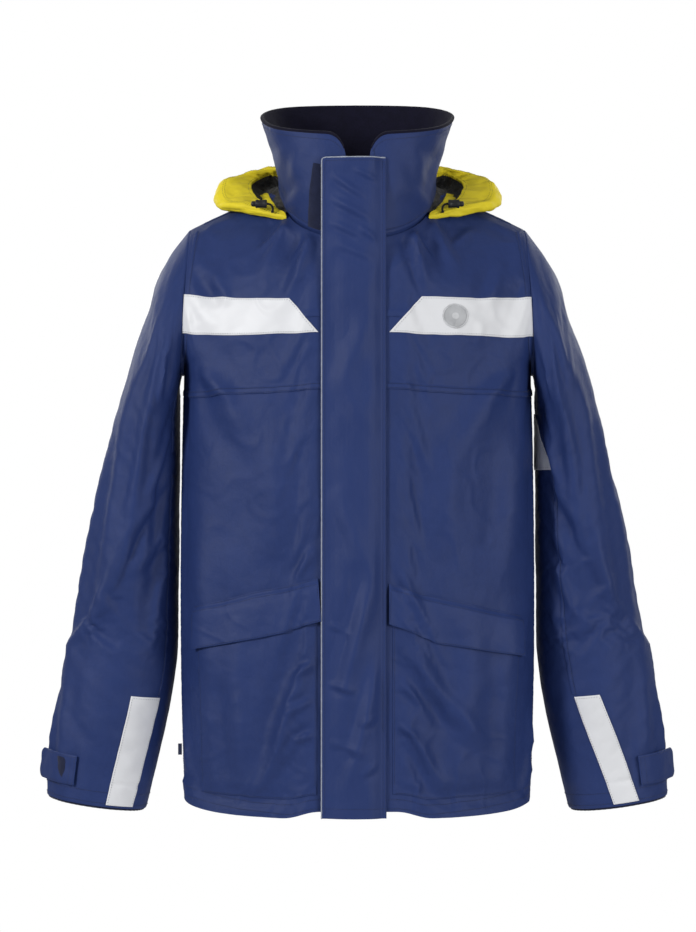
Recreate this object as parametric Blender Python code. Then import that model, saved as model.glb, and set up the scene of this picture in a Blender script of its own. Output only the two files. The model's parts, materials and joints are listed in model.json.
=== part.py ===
"""Foul weather jacket, made of separate shell panels, bands, flaps, zip, collar, linings, hood and sleeves.

Metres, +Z up, -Y to the front. R names the side at +X and L the side at -X.
The origin is where a hook bears on the hanging loop inside the back of the neck.
"""

import math

import bpy
import numpy as np

for item in list(bpy.data.objects):
    bpy.data.objects.remove(item, do_unlink=True)

MM = 0.001

# Heights here are above the hem; solid() moves everything so that ORIGIN becomes the zero point.
ORIGIN = np.array([0.0, 0.0700, 0.8300])
HEM_Y, FRONT_LEAN = -0.1500, 0.0381  # the straight front line runs back this much per metre of height
HALF_WIDTH = 0.2220

# Layers, as distances out from the shell's outer face.
SHELL = (-1.5 * MM, 0.0)
LINING = (-8.0 * MM, -6.8 * MM)
TRIM = (1.0 * MM, 1.6 * MM)
SEAM = 0.0048  # left free below the shoulder seam and the neck seam, as a share of the height

# Front line and zip.
ZIP_HALF = 13.5 * MM
ZIP_BOTTOM, ZIP_TOP = 0.030, 0.812
SLIDER_Z = 0.786
FLAP_HINGE_X, FLAP_BOTTOM, FLAP_TOP = 31.0 * MM, 0.0155, 0.8190

# A point on the axis of each joint, as heights above the hem; a moving piece has its origin there.
SHOULDER, ELBOW, HOOD_AXIS = (0.235, 0.005, 0.640), (0.2815, 0.011, 0.390), (0.0, 0.046, 0.800)
PIVOTS = {"hood_rim": HOOD_AXIS}

# Colour, roughness and metal share of each material.
MATERIALS = {
    "shell": ((0.030, 0.048, 0.150), 0.62, 0.0),
    "reflective": ((0.79, 0.80, 0.82), 0.38, 0.0),
    "lining": ((0.020, 0.024, 0.050), 0.80, 0.0),
    "fleece": ((0.012, 0.012, 0.028), 0.95, 0.0),
    "yellow": ((0.72, 0.66, 0.03), 0.60, 0.0),
    "mesh": ((0.010, 0.010, 0.012), 0.85, 0.0),
    "zip": ((0.020, 0.028, 0.070), 0.70, 0.0),
    "nylon": ((0.015, 0.016, 0.022), 0.45, 0.0),
    "metal": ((0.55, 0.56, 0.58), 0.30, 1.0),
    "tape": ((0.018, 0.022, 0.055), 0.90, 0.0),
    "piping": ((0.45, 0.48, 0.56), 0.55, 0.0),
    "badge": ((0.50, 0.51, 0.53), 0.40, 0.0),
    "cord": ((0.012, 0.012, 0.014), 0.75, 0.0),
}


# ---------------------------------------------------------------- smooth surfaces

def slopes(knots):
    """The weights that give a smooth curve's slope at each knot from the values at the knots."""
    n, gap = len(knots), np.diff(knots)
    rise = (np.eye(n)[1:] - np.eye(n)[:-1]) / gap[:, None]
    inner = (gap[:-1, None] * rise[1:] + gap[1:, None] * rise[:-1]) / (gap[1:] + gap[:-1])[:, None]
    return np.vstack([1.5 * rise[0] - 0.5 * inner[0], inner, 1.5 * rise[-1] - 0.5 * inner[-1]])


def weights(knots, at):
    """Rows of weights that turn the values at the knots into a smooth curve's values at these places."""
    knots = np.asarray(knots, float)
    k = np.clip(np.searchsorted(knots, at, side="right") - 1, 0, len(knots) - 2)
    gap = (knots[k + 1] - knots[k])[:, None]
    r = ((at - knots[k]) / gap[:, 0])[:, None]
    one, slope = np.eye(len(knots)), slopes(knots)
    return ((2 * r**3 - 3 * r**2 + 1) * one[k] + (r**3 - 2 * r**2 + r) * gap * slope[k]
            + (3 * r**2 - 2 * r**3) * one[k + 1] + (r**3 - r**2) * gap * slope[k + 1])


class Patch:
    """A smooth surface through rows of points, u across and v up, with its outside on the given side."""

    def __init__(self, rows, across, up, out=1):
        self.rows, self.across, self.up, self.out = np.array(rows, float), across, up, out

    def point(self, u, v):
        u, v = np.broadcast_arrays(np.asarray(u, float), np.asarray(v, float))
        found = np.einsum("ki,kj,ijc->kc", weights(self.up, v.ravel()), weights(self.across, u.ravel()), self.rows)
        return found.reshape(u.shape + (3,))

    def at(self, u, v, out=0.0):
        u, v = np.broadcast_arrays(np.asarray(u, float), np.asarray(v, float))
        step = 1e-3
        du = self.point(u + step, v) - self.point(u - step, v)
        dv = self.point(u, v + step) - self.point(u, v - step)
        normal = np.cross(du, dv) * self.out
        normal /= np.linalg.norm(normal, axis=-1, keepdims=True)
        return self.point(u, v) + normal * np.broadcast_to(out, u.shape)[..., None]


class Tube:
    """A smooth tube through rings, each a centre, the way to angle 0 and the way to 90 degrees."""

    def __init__(self, rings, along):
        self.rings, self.along = np.array(rings, float), along

    def point(self, angle, v):
        angle, v = np.broadcast_arrays(np.asarray(angle, float), np.asarray(v, float))
        centre, first, second = np.einsum("ki,ijc->jkc", weights(self.along, v.ravel()), self.rings)
        a = angle.ravel()[:, None]
        return (centre + first * np.cos(a) + second * np.sin(a)).reshape(angle.shape + (3,))

    def at(self, angle, v, out=0.0):
        angle, v = np.broadcast_arrays(np.asarray(angle, float), np.asarray(v, float))
        step = 1e-3
        across = self.point(angle + step, v) - self.point(angle - step, v)
        along = self.point(angle, v + step) - self.point(angle, v - step)
        normal = np.cross(along, across)
        normal /= np.linalg.norm(normal, axis=-1, keepdims=True)
        centre = self.point(angle, v) + self.point(angle + math.pi, v)
        normal *= np.sign(np.sum(normal * (self.point(angle, v) - centre / 2), -1, keepdims=True))
        return self.point(angle, v) + normal * np.broadcast_to(out, angle.shape)[..., None]


def mirrored(half):
    """Rows for both sides from rows for the +X side, whose first column is on the middle."""
    half = np.array(half, float)
    return np.concatenate([half[:, :0:-1] * (-1, 1, 1), half], axis=1)


def line_y(z):
    return HEM_Y + FRONT_LEAN * z


# ---------------------------------------------------------------- the jacket's surfaces

ACROSS = (0.0, 0.26, 0.48, 0.67, 0.86, 1.0)
BOTH = tuple(-a for a in ACROSS[:0:-1]) + ACROSS
UP = (0.0, 0.22, 0.45, 0.645, 0.66, 0.74, 0.81, 0.90, 1.0)


def section(z, half_width, side_y, side_z, middle_y):
    """A row across a side of the body from the middle to the side seam, rounded like a worn garment."""
    row = []
    for a in ACROSS:
        share = math.sin(a * math.pi / 2)
        bow = (1 - share**2.3) ** (1 / 2.3) if a < 1 else 0.0
        row.append((half_width * share, side_y + (middle_y - side_y) * bow, z + (side_z - z) * a**3))
    return row


ARMHOLE = ((0.2170, 0.002, 0.650), (-0.0045, 0.010, 0.094), (0.0, -0.0675, -0.006))


def armhole(degrees, inset=0.9 * MM):
    """A point of the armhole's edge on the +X side: 0 at the shoulder, 90 at the front, 180 at the armpit."""
    centre, first, second = np.array(ARMHOLE)
    a = math.radians(degrees)
    return tuple(centre + first * math.cos(a) + second * math.sin(a) - (inset, 0, 0))


NECK = [(0, -0.1224, 0.7235), (0.046, -0.1085, 0.7275), (0.082, -0.0640, 0.752), (0.0985, 0.0120, 0.7935)]
NECK_BACK = [(0, 0.0900, 0.8070), (0.040, 0.0850, 0.8065), (0.076, 0.0600, 0.8035), (0.0985, 0.0125, 0.7935)]

front_rows = [
    section(0.014, 0.2170, -0.035, 0.032, line_y(0.014)),
    section(0.190, 0.2217, -0.034, 0.193, line_y(0.190)),
    section(0.380, 0.2220, -0.028, 0.380, line_y(0.380)),
    section(0.534, 0.2200, -0.010, 0.544, line_y(0.534)),
    section(0.545, 0.2199, -0.008, 0.556, line_y(0.545)),
    [(0, line_y(0.61), 0.610), (0.066, -0.1245, 0.609), (0.122, -0.1125, 0.606), (0.163, -0.0960, 0.600),
     (0.198, -0.0745, 0.592), armhole(130)],
    [(0, line_y(0.67), 0.670), (0.063, -0.1200, 0.670), (0.117, -0.1060, 0.669), (0.156, -0.0910, 0.664),
     (0.193, -0.0750, 0.656), armhole(85)],
    [(0, line_y(0.703), 0.703), (0.055, -0.1120, 0.707), (0.099, -0.0820, 0.722), (0.130, -0.0560, 0.735),
     (0.175, -0.0450, 0.730), armhole(40)],
    NECK + [(0.158, 0.0125, 0.7700), armhole(0)],
]
back_rows = [
    section(0.012, 0.2170, -0.035, 0.032, 0.128),
    section(0.190, 0.2217, -0.034, 0.193, 0.132),
    section(0.380, 0.2220, -0.028, 0.380, 0.135),
    section(0.536, 0.2200, -0.010, 0.544, 0.137),
    section(0.550, 0.2199, -0.008, 0.556, 0.137),
    [(0, 0.1370, 0.630), (0.066, 0.1330, 0.630), (0.120, 0.1190, 0.626), (0.160, 0.0960, 0.618),
     (0.198, 0.0680, 0.604), armhole(230)],
    [(0, 0.1330, 0.700), (0.063, 0.1290, 0.700), (0.115, 0.1160, 0.696), (0.154, 0.0980, 0.688),
     (0.194, 0.0810, 0.675), armhole(275)],
    [(0, 0.1180, 0.766), (0.054, 0.1130, 0.766), (0.100, 0.0950, 0.762), (0.132, 0.0750, 0.754),
     (0.178, 0.0630, 0.741), armhole(320)],
    NECK_BACK + [(0.158, 0.0130, 0.7700), armhole(0)],
]
FRONT = Patch(mirrored(front_rows), BOTH, UP)
BACK = Patch(mirrored(back_rows), BOTH, UP, out=-1)

COLLAR_ACROSS = (0.0, 0.16, 0.34, 0.54, 0.76, 1.0)
collar_rows = [
    [(0, line_y(0.7250), 0.7250), (0.047, -0.1090, 0.7290), (0.083, -0.0650, 0.7535), (0.0995, 0.0120, 0.7955),
     (0.0765, 0.0610, 0.8060), (0, 0.0915, 0.8095)],
    [(0, line_y(0.776), 0.776), (0.052, -0.1145, 0.788), (0.093, -0.0730, 0.808), (0.1085, 0.0020, 0.840),
     (0.0840, 0.0700, 0.860), (0, 0.1050, 0.867)],
    [(0, line_y(0.853), 0.853), (0.052, -0.1150, 0.854), (0.103, -0.0830, 0.863), (0.1225, -0.0090, 0.886),
     (0.0950, 0.0740, 0.911), (0, 0.1160, 0.921)],
]
# u runs from the front edge at +X (0) round the back (1) to the front edge at -X (2)
collar_rows = [row + [(-x, y, z) for x, y, z in row[-2::-1]] for row in collar_rows]
COLLAR = Patch(collar_rows, COLLAR_ACROSS + tuple(2.0 - a for a in COLLAR_ACROSS[-2::-1]), (0.0, 0.5, 1.0))

HOOD_ACROSS = (0.0, 0.3, 0.6, 0.82, 1.0)
hood_rows = [
    [(0, 0.1060, 0.8160), (0.074, 0.0820, 0.8150), (0.1145, 0.0330, 0.8260), (0.1130, -0.0120, 0.8060),
     (0.0935, -0.0530, 0.7720)],
    [(0, 0.1480, 0.7760), (0.092, 0.1230, 0.7780), (0.1330, 0.0420, 0.7980), (0.1280, -0.0200, 0.7880),
     (0.0960, -0.0590, 0.7680)],
    [(0, 0.2050, 0.7460), (0.128, 0.1680, 0.7520), (0.1740, 0.0440, 0.7840), (0.1520, -0.0240, 0.7780),
     (0.0985, -0.0630, 0.7650)],
    [(0, 0.1950, 0.8320), (0.122, 0.1560, 0.8300), (0.1700, 0.0460, 0.8110), (0.1480, -0.0140, 0.7980),
     (0.0990, -0.0570, 0.7700)],
]
HOOD = Patch(mirrored(hood_rows), tuple(-a for a in HOOD_ACROSS[:0:-1]) + HOOD_ACROSS, (0.0, 0.35, 0.68, 1.0), out=-1)

# Each ring: centre, the way to the outside of the arm, the way to its front. Its place is 0.65 less its height.
sleeve_rings = [
    ARMHOLE,
    ((0.2330, 0.006, 0.6225), (0.0080, 0.006, 0.0825), (-0.003, -0.0800, -0.008)),
    ((0.2510, 0.009, 0.5725), (0.0260, 0.003, 0.0525), (0.0, -0.0855, -0.006)),
    ((0.2695, 0.012, 0.5000), (0.0440, 0.0, 0.0055), (0.0, -0.0850, 0.0)),
    ((0.2760, 0.012, 0.4400), (0.0505, 0.0, 0.0060), (0.0, -0.0810, 0.0)),
    ((0.2844, 0.010, 0.3700), (0.0586, 0.0, 0.0070), (0.0, -0.0770, 0.0)),
    ((0.2912, 0.006, 0.3000), (0.0648, 0.0, 0.0078), (0.0, -0.0730, 0.0)),
    ((0.2990, 0.000, 0.2060), (0.0710, 0.0, 0.0085), (0.0, -0.0680, 0.0)),
    ((0.3090, -0.006, 0.1400), (0.0710, 0.0, 0.0085), (0.0, -0.0640, 0.0)),
    ((0.3196, -0.010, 0.0800), (0.0680, 0.0, 0.0090), (0.0, -0.0590, 0.0)),
    ((0.3290, -0.014, 0.0200), (0.0630, 0.0, 0.0090), (0.0, -0.0540, 0.0)),
]
SLEEVE = Tube(sleeve_rings, [0.65 - ring[0][2] for ring in sleeve_rings])


# ---------------------------------------------------------------- making solids

def dress(item, kind):
    colour, roughness, metal = MATERIALS[kind]
    look = bpy.data.materials.new(item.name)
    look.use_nodes = True
    shader = look.node_tree.nodes["Principled BSDF"]
    shader.inputs["Base Color"].default_value = (*colour, 1)
    shader.inputs["Roughness"].default_value = roughness
    shader.inputs["Metallic"].default_value = metal
    look.diffuse_color = (*colour, 1)
    item.data.materials.append(look)


def body(name, points, faces, kind):
    """An object from points and faces, turned to face out, with its origin on its joint's axis if it has one."""
    points, pivot = np.asarray(points, float) - ORIGIN, np.asarray(PIVOTS.get(name, ORIGIN)) - ORIGIN
    volume = 0.0
    for face in faces:
        for i in range(1, len(face) - 1):
            a, b, c = points[face[0]], points[face[i]], points[face[i + 1]]
            volume += float(np.dot(a, np.cross(b, c)))
    if volume < 0:
        faces = [tuple(reversed(face)) for face in faces]
    mesh = bpy.data.meshes.new(name)
    mesh.from_pydata([tuple(p) for p in points - pivot], [], faces)
    item = bpy.data.objects.new(name, mesh)
    item.location = pivot
    bpy.context.scene.collection.objects.link(item)
    dress(item, kind)
    return item


def slab(name, outer, inner, kind, ring=False):
    """A closed body between two grids of points; a ring joins its last column to its first."""
    outer, inner = np.asarray(outer, float), np.asarray(inner, float)
    rows, columns = outer.shape[:2]
    many = rows * columns
    index = np.arange(many).reshape(rows, columns)
    wide = columns if ring else columns - 1
    faces = []
    for i in range(rows - 1):
        for j in range(wide):
            k = (j + 1) % columns
            # both skins are cut along the same diagonal, so that layers of one shape stay clear of each other
            for face in ((index[i, j], index[i, k], index[i + 1, k]), (index[i, j], index[i + 1, k], index[i + 1, j])):
                faces += [face, tuple(f + many for f in reversed(face))]
    for j in range(wide):
        k = (j + 1) % columns
        faces.append((index[0, k], index[0, j], index[0, j] + many, index[0, k] + many))
        faces.append((index[-1, j], index[-1, k], index[-1, k] + many, index[-1, j] + many))
    if not ring:
        for i in range(rows - 1):
            faces.append((index[i, 0], index[i + 1, 0], index[i + 1, 0] + many, index[i, 0] + many))
            faces.append((index[i + 1, -1], index[i, -1], index[i, -1] + many, index[i + 1, -1] + many))
    return body(name, np.concatenate([outer.reshape(-1, 3), inner.reshape(-1, 3)]),
                [tuple(int(f) for f in face) for face in faces], kind)


def blend(low, high, share):
    return low + (high - low) * share


SCAN = np.linspace(0, 1, 241)


def front_place(side, x, z):
    """(u, v) on the front's surface, from distances from the middle, HALF_WIDTH being the side, and heights."""
    x, z = np.broadcast_arrays(x, z)
    found = []
    for distance, height in zip(x.ravel(), z.ravel()):
        share = distance / HALF_WIDTH
        u = share
        for _ in range(4):
            v = np.interp(height, FRONT.point(u, SCAN)[:, 2], SCAN)
            widths = FRONT.point(SCAN, v)[:, 0]
            # distances are true near the middle, and stretch to the panel's own edge at the side
            u = np.interp(distance * (1 + (widths[-1] / HALF_WIDTH - 1) * share**2), widths, SCAN)
        found.append((u * side, min(v, 1 - SEAM)))
    return np.array(found).T.reshape((2,) + x.shape)


def front_grid(side, bottom, top, columns, rows):
    """Places on the front between a bottom and a top edge, each (distance from the middle, height) points."""
    a, b = np.meshgrid(np.asarray(columns, float), np.asarray(rows, float))
    bottom, top = np.array(bottom, float), np.array(top, float)
    edge = []
    for line in (bottom, top):
        span = np.linspace(0, 1, len(line))
        edge.append((np.interp(a, span, line[:, 0]), np.interp(a, span, line[:, 1])))
    x, z = (blend(edge[0][k], edge[1][k], b) for k in (0, 1))
    return front_place(side, x, z)


def even(count):
    return np.linspace(0, 1, count)


def front_panel(name, side, bottom, top, kind, layer=SHELL, columns=even(12), rows=even(4)):
    u, v = front_grid(side, bottom, top, columns, rows)
    return slab(name, FRONT.at(u, v, layer[1]), FRONT.at(u, v, layer[0]), kind)


def tube_slab(name, side, angles, places, kind, layer=SHELL, ring=False, surface=SLEEVE):
    """A layer on a sleeve between angles and places along it, mirrored onto the side."""
    a, v = np.meshgrid(np.asarray(angles, float), np.asarray(places, float))
    turn = (side, 1, 1)
    return slab(name, surface.at(a, v, layer[1]) * turn, surface.at(a, v, layer[0]) * turn, kind, ring)


def box(name, low, high, kind, lean=0.0):
    """A block between two corners; lean moves its points back along Y with height, as the front line does."""
    corners = [(x, y + lean * (z - low[2]), z) for z in (low[2], high[2]) for y in (low[1], high[1])
               for x in (low[0], high[0])]
    faces = [(0, 1, 3, 2), (4, 6, 7, 5), (0, 4, 5, 1), (2, 3, 7, 6), (0, 2, 6, 4), (1, 5, 7, 3)]
    return body(name, corners, faces, kind)


def rod(name, path, radius, kind, sides=8):
    """A round rod or cord along a path of points, closed at both ends."""
    path = np.array(path, float)
    ways = np.gradient(path, axis=0)
    ways /= np.linalg.norm(ways, axis=1, keepdims=True)
    side = np.cross(ways[0], (0.0, 0.0, 1.0) if abs(ways[0][2]) < 0.9 else (0.0, 1.0, 0.0))
    points, faces = [], []
    for point, way in zip(path, ways):
        side = side - way * np.dot(side, way)
        side /= np.linalg.norm(side)
        other = np.cross(way, side)
        for k in range(sides):
            angle = 2 * math.pi * k / sides
            points.append(point + radius * (side * math.cos(angle) + other * math.sin(angle)))
    for i in range(len(path) - 1):
        for k in range(sides):
            n = (k + 1) % sides
            faces.append((i * sides + k, i * sides + n, (i + 1) * sides + n, (i + 1) * sides + k))
    faces.append(tuple(reversed(range(sides))))
    faces.append(tuple((len(path) - 1) * sides + k for k in range(sides)))
    return body(name, points, faces, kind)


# ---------------------------------------------------------------- the body of the jacket

def make_front(side, tag):
    edge, full = ZIP_HALF, HALF_WIDTH
    hem = [(edge, 0.0), (full, 0.0)]
    chest_low = [(edge, 0.5420), (full, 0.5355)]
    chest_high = [(edge, 0.5428), (full, 0.5363)]
    yoke_low, yoke_high = [(edge, 0.6300), (full, 0.6280)], [(edge, 0.6308), (full, 0.6288)]
    top = [(edge, 0.9), (full, 0.9)]
    front_panel("front_skirt_" + tag, side, hem, chest_low, "shell", columns=even(13), rows=even(6))
    front_panel("chest_panel_" + tag, side, chest_high, yoke_low, "shell", columns=even(13), rows=even(4))
    front_panel("yoke_" + tag, side, yoke_high, top, "shell", columns=even(13), rows=even(6))
    u, v = front_grid(side, [(edge, 0.02), (full, 0.04)], top, even(10), even(8))
    u, v = np.clip(u, -0.97, 0.97), np.clip(v, 0.004, 0.975)
    slab("lining_front_" + tag, FRONT.at(u, v, LINING[1]), FRONT.at(u, v, LINING[0]), "lining")


def make_back():
    u, v = np.meshgrid(np.linspace(-1, 1, 21), np.concatenate([np.linspace(0, 0.66, 5), np.linspace(0.72, 1, 6)]))
    u, v = u * 0.995, np.clip(v, 0, 1 - SEAM)
    slab("back_panel", BACK.at(u, v, SHELL[1]), BACK.at(u, v, SHELL[0]), "shell")
    u, v = np.meshgrid(np.linspace(-0.93, 0.93, 17), np.linspace(0.006, 0.970, 9))
    slab("lining_back", BACK.at(u, v, LINING[1]), BACK.at(u, v, LINING[0]), "lining")


def make_bands():
    front_panel("chest_band_L", -1, [(0.0480, 0.6060), (0.130, 0.6070), (HALF_WIDTH, 0.6078)],
                [(0.0852, 0.6500), (0.150, 0.6530), (HALF_WIDTH, 0.6560)], "reflective", TRIM, even(13), even(4))
    front_panel("chest_band_R", 1, [(0.0385, 0.6060), (0.130, 0.6050), (HALF_WIDTH, 0.6040)],
                [(0.0800, 0.6520), (0.150, 0.6525), (HALF_WIDTH, 0.6527)], "reflective", TRIM, even(13), even(4))
    turn = np.linspace(0, 2 * math.pi, 24, endpoint=False)
    ring = np.array([0.2, 0.6, 1.0]) * 16 * MM
    x = 0.1220 + ring[:, None] * np.cos(turn)
    z = 0.6285 + ring[:, None] * np.sin(turn) * 0.98
    u, v = front_place(1, x, z)
    outer, inner = FRONT.at(u, v, 2.4 * MM), FRONT.at(u, v, 1.8 * MM)
    slab("badge", outer, inner, "badge", ring=True)


def make_pocket(side, tag, near, seam, hang, top):
    """A bellows pocket, open at the top, and the flap sewn above its mouth."""
    columns = np.concatenate([[0, 0.012, 0.024], np.linspace(0.1, 0.9, 8), [0.976, 0.988, 1]])
    rows = np.array([0, 0.015, 0.03, 0.25, 0.5, 0.75, 1])
    a, b = np.meshgrid(columns, rows)
    border = (a <= 0.012) | (a >= 0.988) | (b <= 0.015)
    edge = (a == 0) | (a == 1) | (b == 0)
    u, v = front_grid(side, [(near, 0.036), (0.198, 0.043)], [(near, top), (0.198, top - 0.030)], columns, rows)
    slab("pocket_" + tag, FRONT.at(u, v, np.where(edge, 7.5, 10.2) * MM),
         FRONT.at(u, v, np.where(border, 0.7, 9.0) * MM), "shell")
    columns, rows = even(12), np.array([0, 0.35, 0.70, 0.84, 0.93, 1.0])
    a, b = np.meshgrid(columns, rows)
    u, v = front_grid(side, hang, seam, columns, rows)
    lift = np.interp(rows, rows, [11.0, 11.2, 11.2, 8.0, 3.2, 0.7])[:, None] * MM + 0 * a
    PIVOTS["pocket_flap_" + tag] = FRONT.at(*front_grid(side, seam, seam, [0.5], [0]), 0.7 * MM)[0, 0]
    slab("pocket_flap_" + tag, FRONT.at(u, v, lift + 1.4 * MM), FRONT.at(u, v, lift), "shell")


def make_storm_flap():
    """The flap over the zip, with piping on its free edge, and hook-and-loop strips under that edge."""
    x = np.array([FLAP_HINGE_X, 25 * MM, 18 * MM, 2 * MM, -12 * MM, -20 * MM, -32 * MM, -42.3 * MM])
    lift = np.array([0.7, 4.6, 9.0, 9.2, 9.0, 3.6, 2.8, 2.6]) * MM

    def grid(z, extra, xs=x, out=lift):
        return np.array([[(a, line_y(h) - o - extra, h) for a, o in zip(xs, out)] for h in z])

    middle = (FLAP_BOTTOM + FLAP_TOP) / 2
    for name in ("storm_flap", "storm_flap_hook_strip", "storm_flap_piping"):
        PIVOTS[name] = (FLAP_HINGE_X, line_y(middle) - 0.7 * MM, middle)
    z = (FLAP_BOTTOM, FLAP_TOP)
    slab("storm_flap", grid(z, 1.8 * MM), grid(z, 0.0), "shell")
    xs, out = np.array([-30, -21.5]) * MM, np.array([1.7, 1.7]) * MM
    z = (0.060, 0.800)
    slab("storm_flap_hook_strip", grid(z, 0.6 * MM, xs, out), grid(z, 0.0, xs, out), "tape")
    edge = -43.6 * MM
    path = [(edge, line_y(h) - 3.5 * MM, h) for h in (FLAP_BOTTOM, FLAP_TOP)]
    rod("storm_flap_piping", path, 0.9 * MM, "piping", sides=6)
    u, v = np.meshgrid(2.0 - np.array([0.095, 0.130, 0.165]), (0.10, 0.25, 0.40, 0.55, 0.70))
    slab("collar_loop_strip", COLLAR.at(u, v, 1.7 * MM), COLLAR.at(u, v, 1.0 * MM), "tape")


def make_zip():
    for side, tag in ((1, "R"), (-1, "L")):
        profile_x = np.array([0.3, 2.3, 2.6, ZIP_HALF / MM - 1.0]) * MM
        outer = np.array([0.9, 0.9, -0.3, -0.3]) * MM
        inner = np.array([-2.0, -2.0, -1.3, -1.3]) * MM
        z = (ZIP_BOTTOM, ZIP_TOP)
        slab("zip_tape_" + tag, [[(side * x, line_y(h) - o, h) for x, o in zip(profile_x, outer)] for h in z],
             [[(side * x, line_y(h) - o, h) for x, o in zip(profile_x, inner)] for h in z], "zip")
    y = line_y(ZIP_BOTTOM)
    box("zip_pin_box", (-4.5 * MM, y - 1.9 * MM, 0.0195), (4.5 * MM, y + 2.4 * MM, 0.0290), "nylon", FRONT_LEAN)
    PIVOTS["zip_puller"] = (0.0, line_y(SLIDER_Z) - 4.5 * MM, SLIDER_Z + 1 * MM)
    PIVOTS["zip_slider"] = (0.0, line_y(SLIDER_Z), SLIDER_Z)
    y = line_y(SLIDER_Z - 0.006)
    box("zip_slider", (-5 * MM, y - 3.6 * MM, SLIDER_Z - 0.006), (5 * MM, y - 1.2 * MM, SLIDER_Z + 0.006),
        "metal", FRONT_LEAN)
    y = line_y(SLIDER_Z - 0.026)
    box("zip_puller", (-3 * MM, y - 5.1 * MM, SLIDER_Z - 0.026), (3 * MM, y - 3.95 * MM, SLIDER_Z + 0.002),
        "metal", FRONT_LEAN)


def make_collar():
    start = ZIP_HALF / 0.052 * 0.16
    half = np.concatenate([[start, 0.047, 0.058, 0.076], np.linspace(0.117, 1.0, 11)])
    around = np.concatenate([half, 2.0 - half[-2::-1]])
    u, v = np.meshgrid(around, even(6))
    # the top corners at the front are rounded
    near = np.clip((0.117 - np.minimum(u, 2.0 - u)) / (0.117 - start), 0, 1)
    v = v * (1 - 0.21 * (1 - np.sqrt(1 - near**2)))
    slab("collar", COLLAR.at(u, v, 0.0), COLLAR.at(u, v, -1.5 * MM), "shell")
    v = np.clip(v, 0.02, 0.985)
    slab("collar_lining", COLLAR.at(u, v, -2.3 * MM), COLLAR.at(u, v, -4.5 * MM), "fleece")


def make_hanging_loop():
    """A strap across the inside of the back of the neck, standing clear of it so that a hook goes behind."""
    x = np.array([-34, -27, -10, 10, 27, 34]) * MM
    wall = np.array([COLLAR.at(u, 0.2, -4.5 * MM)[1] for u in (0.885, 0.91, 0.965, 0.965, 0.91, 0.885)])
    face = np.array([wall[0] - 1.0 * MM, wall[1] - 1.4 * MM, ORIGIN[1], ORIGIN[1], wall[1] - 1.4 * MM,
                     wall[0] - 1.0 * MM])
    z = (ORIGIN[2] - 0.004, ORIGIN[2] + 0.004)
    slab("hang_loop", [[(a, b - 1.2 * MM, h) for a, b in zip(x, face)] for h in z],
         [[(a, b, h) for a, b in zip(x, face)] for h in z], "tape")


def make_side_label():
    y = -0.035
    box("side_label", (-0.2250, y - 0.001, 0.0800), (-0.2200, y, 0.0940), "tape")


# ---------------------------------------------------------------- hood and cord locks

def make_hood():
    # name, its ends across, its edges from the neck seam (0) to the rim (1)
    pieces = (("hood_wing_R", 0.520, 0.985, 0.0, 1.0), ("hood_wing_L", -0.985, -0.520, 0.0, 1.0),
              ("hood_back", -0.512, 0.512, 0.0, 0.672), ("hood_rim", -0.512, 0.512, 0.680, 1.0))
    for name, left, right, low, high in pieces:
        wing = "wing" in name
        u, v = np.meshgrid(np.linspace(left, right, 8 if wing else 17),
                           np.linspace(low, high, 4 if name == "hood_rim" else 6 if name == "hood_back" else 9))
        slab(name, HOOD.at(u, v, 1.1 * MM), HOOD.at(u, v, 0.0), "yellow")
        if name == "hood_rim":
            continue
        # the lining of a wing stops where the wing narrows to its tip
        u, v = np.clip(u, -0.84, 0.84) + 0.01 * (u - np.clip(u, -0.84, 0.84)), np.clip(v, 0.04, 0.93)
        slab(name + "_lining", HOOD.at(u, v, -1.5 * MM), HOOD.at(u, v, -2.4 * MM), "mesh")


LOCK_AT = (0.1200, -0.0620, 0.7690)


def make_cord_locks():
    """A barrel lock with a sprung plunger at each front corner of the hood, and the end of the drawcord in it."""
    turn = np.linspace(0, 2 * math.pi, 14, endpoint=False)
    for side, tag in ((1, "R"), (-1, "L")):
        x, y, z = LOCK_AT
        rings = [[[(side * (x + reach), y + r * math.cos(a), z + r * math.sin(a)) for a in turn]
                  for reach in (-7 * MM, 7 * MM)] for r in (5.2 * MM, 3.9 * MM)]
        slab("cord_lock_" + tag, rings[0], rings[1], "nylon", ring=True)
        PIVOTS["cord_lock_plunger_" + tag] = (side * (x + 12.5 * MM), y, z)
        rod("cord_lock_plunger_" + tag, [(side * (x + 1 * MM), y, z), (side * (x + 12.5 * MM), y, z)], 3.5 * MM,
            "nylon", 12)
        bend = [(x - 7.8 * MM, y, z), (x - 12 * MM, y, z - 1 * MM), (x - 14.5 * MM, y + 1 * MM, z - 5 * MM),
                (x - 13.5 * MM, y + 1 * MM, z - 10 * MM)]
        rod("hood_cord_" + tag, [(side * a, b, c) for a, b, c in bend], 1.4 * MM, "cord", 6)


# ---------------------------------------------------------------- sleeves

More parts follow.
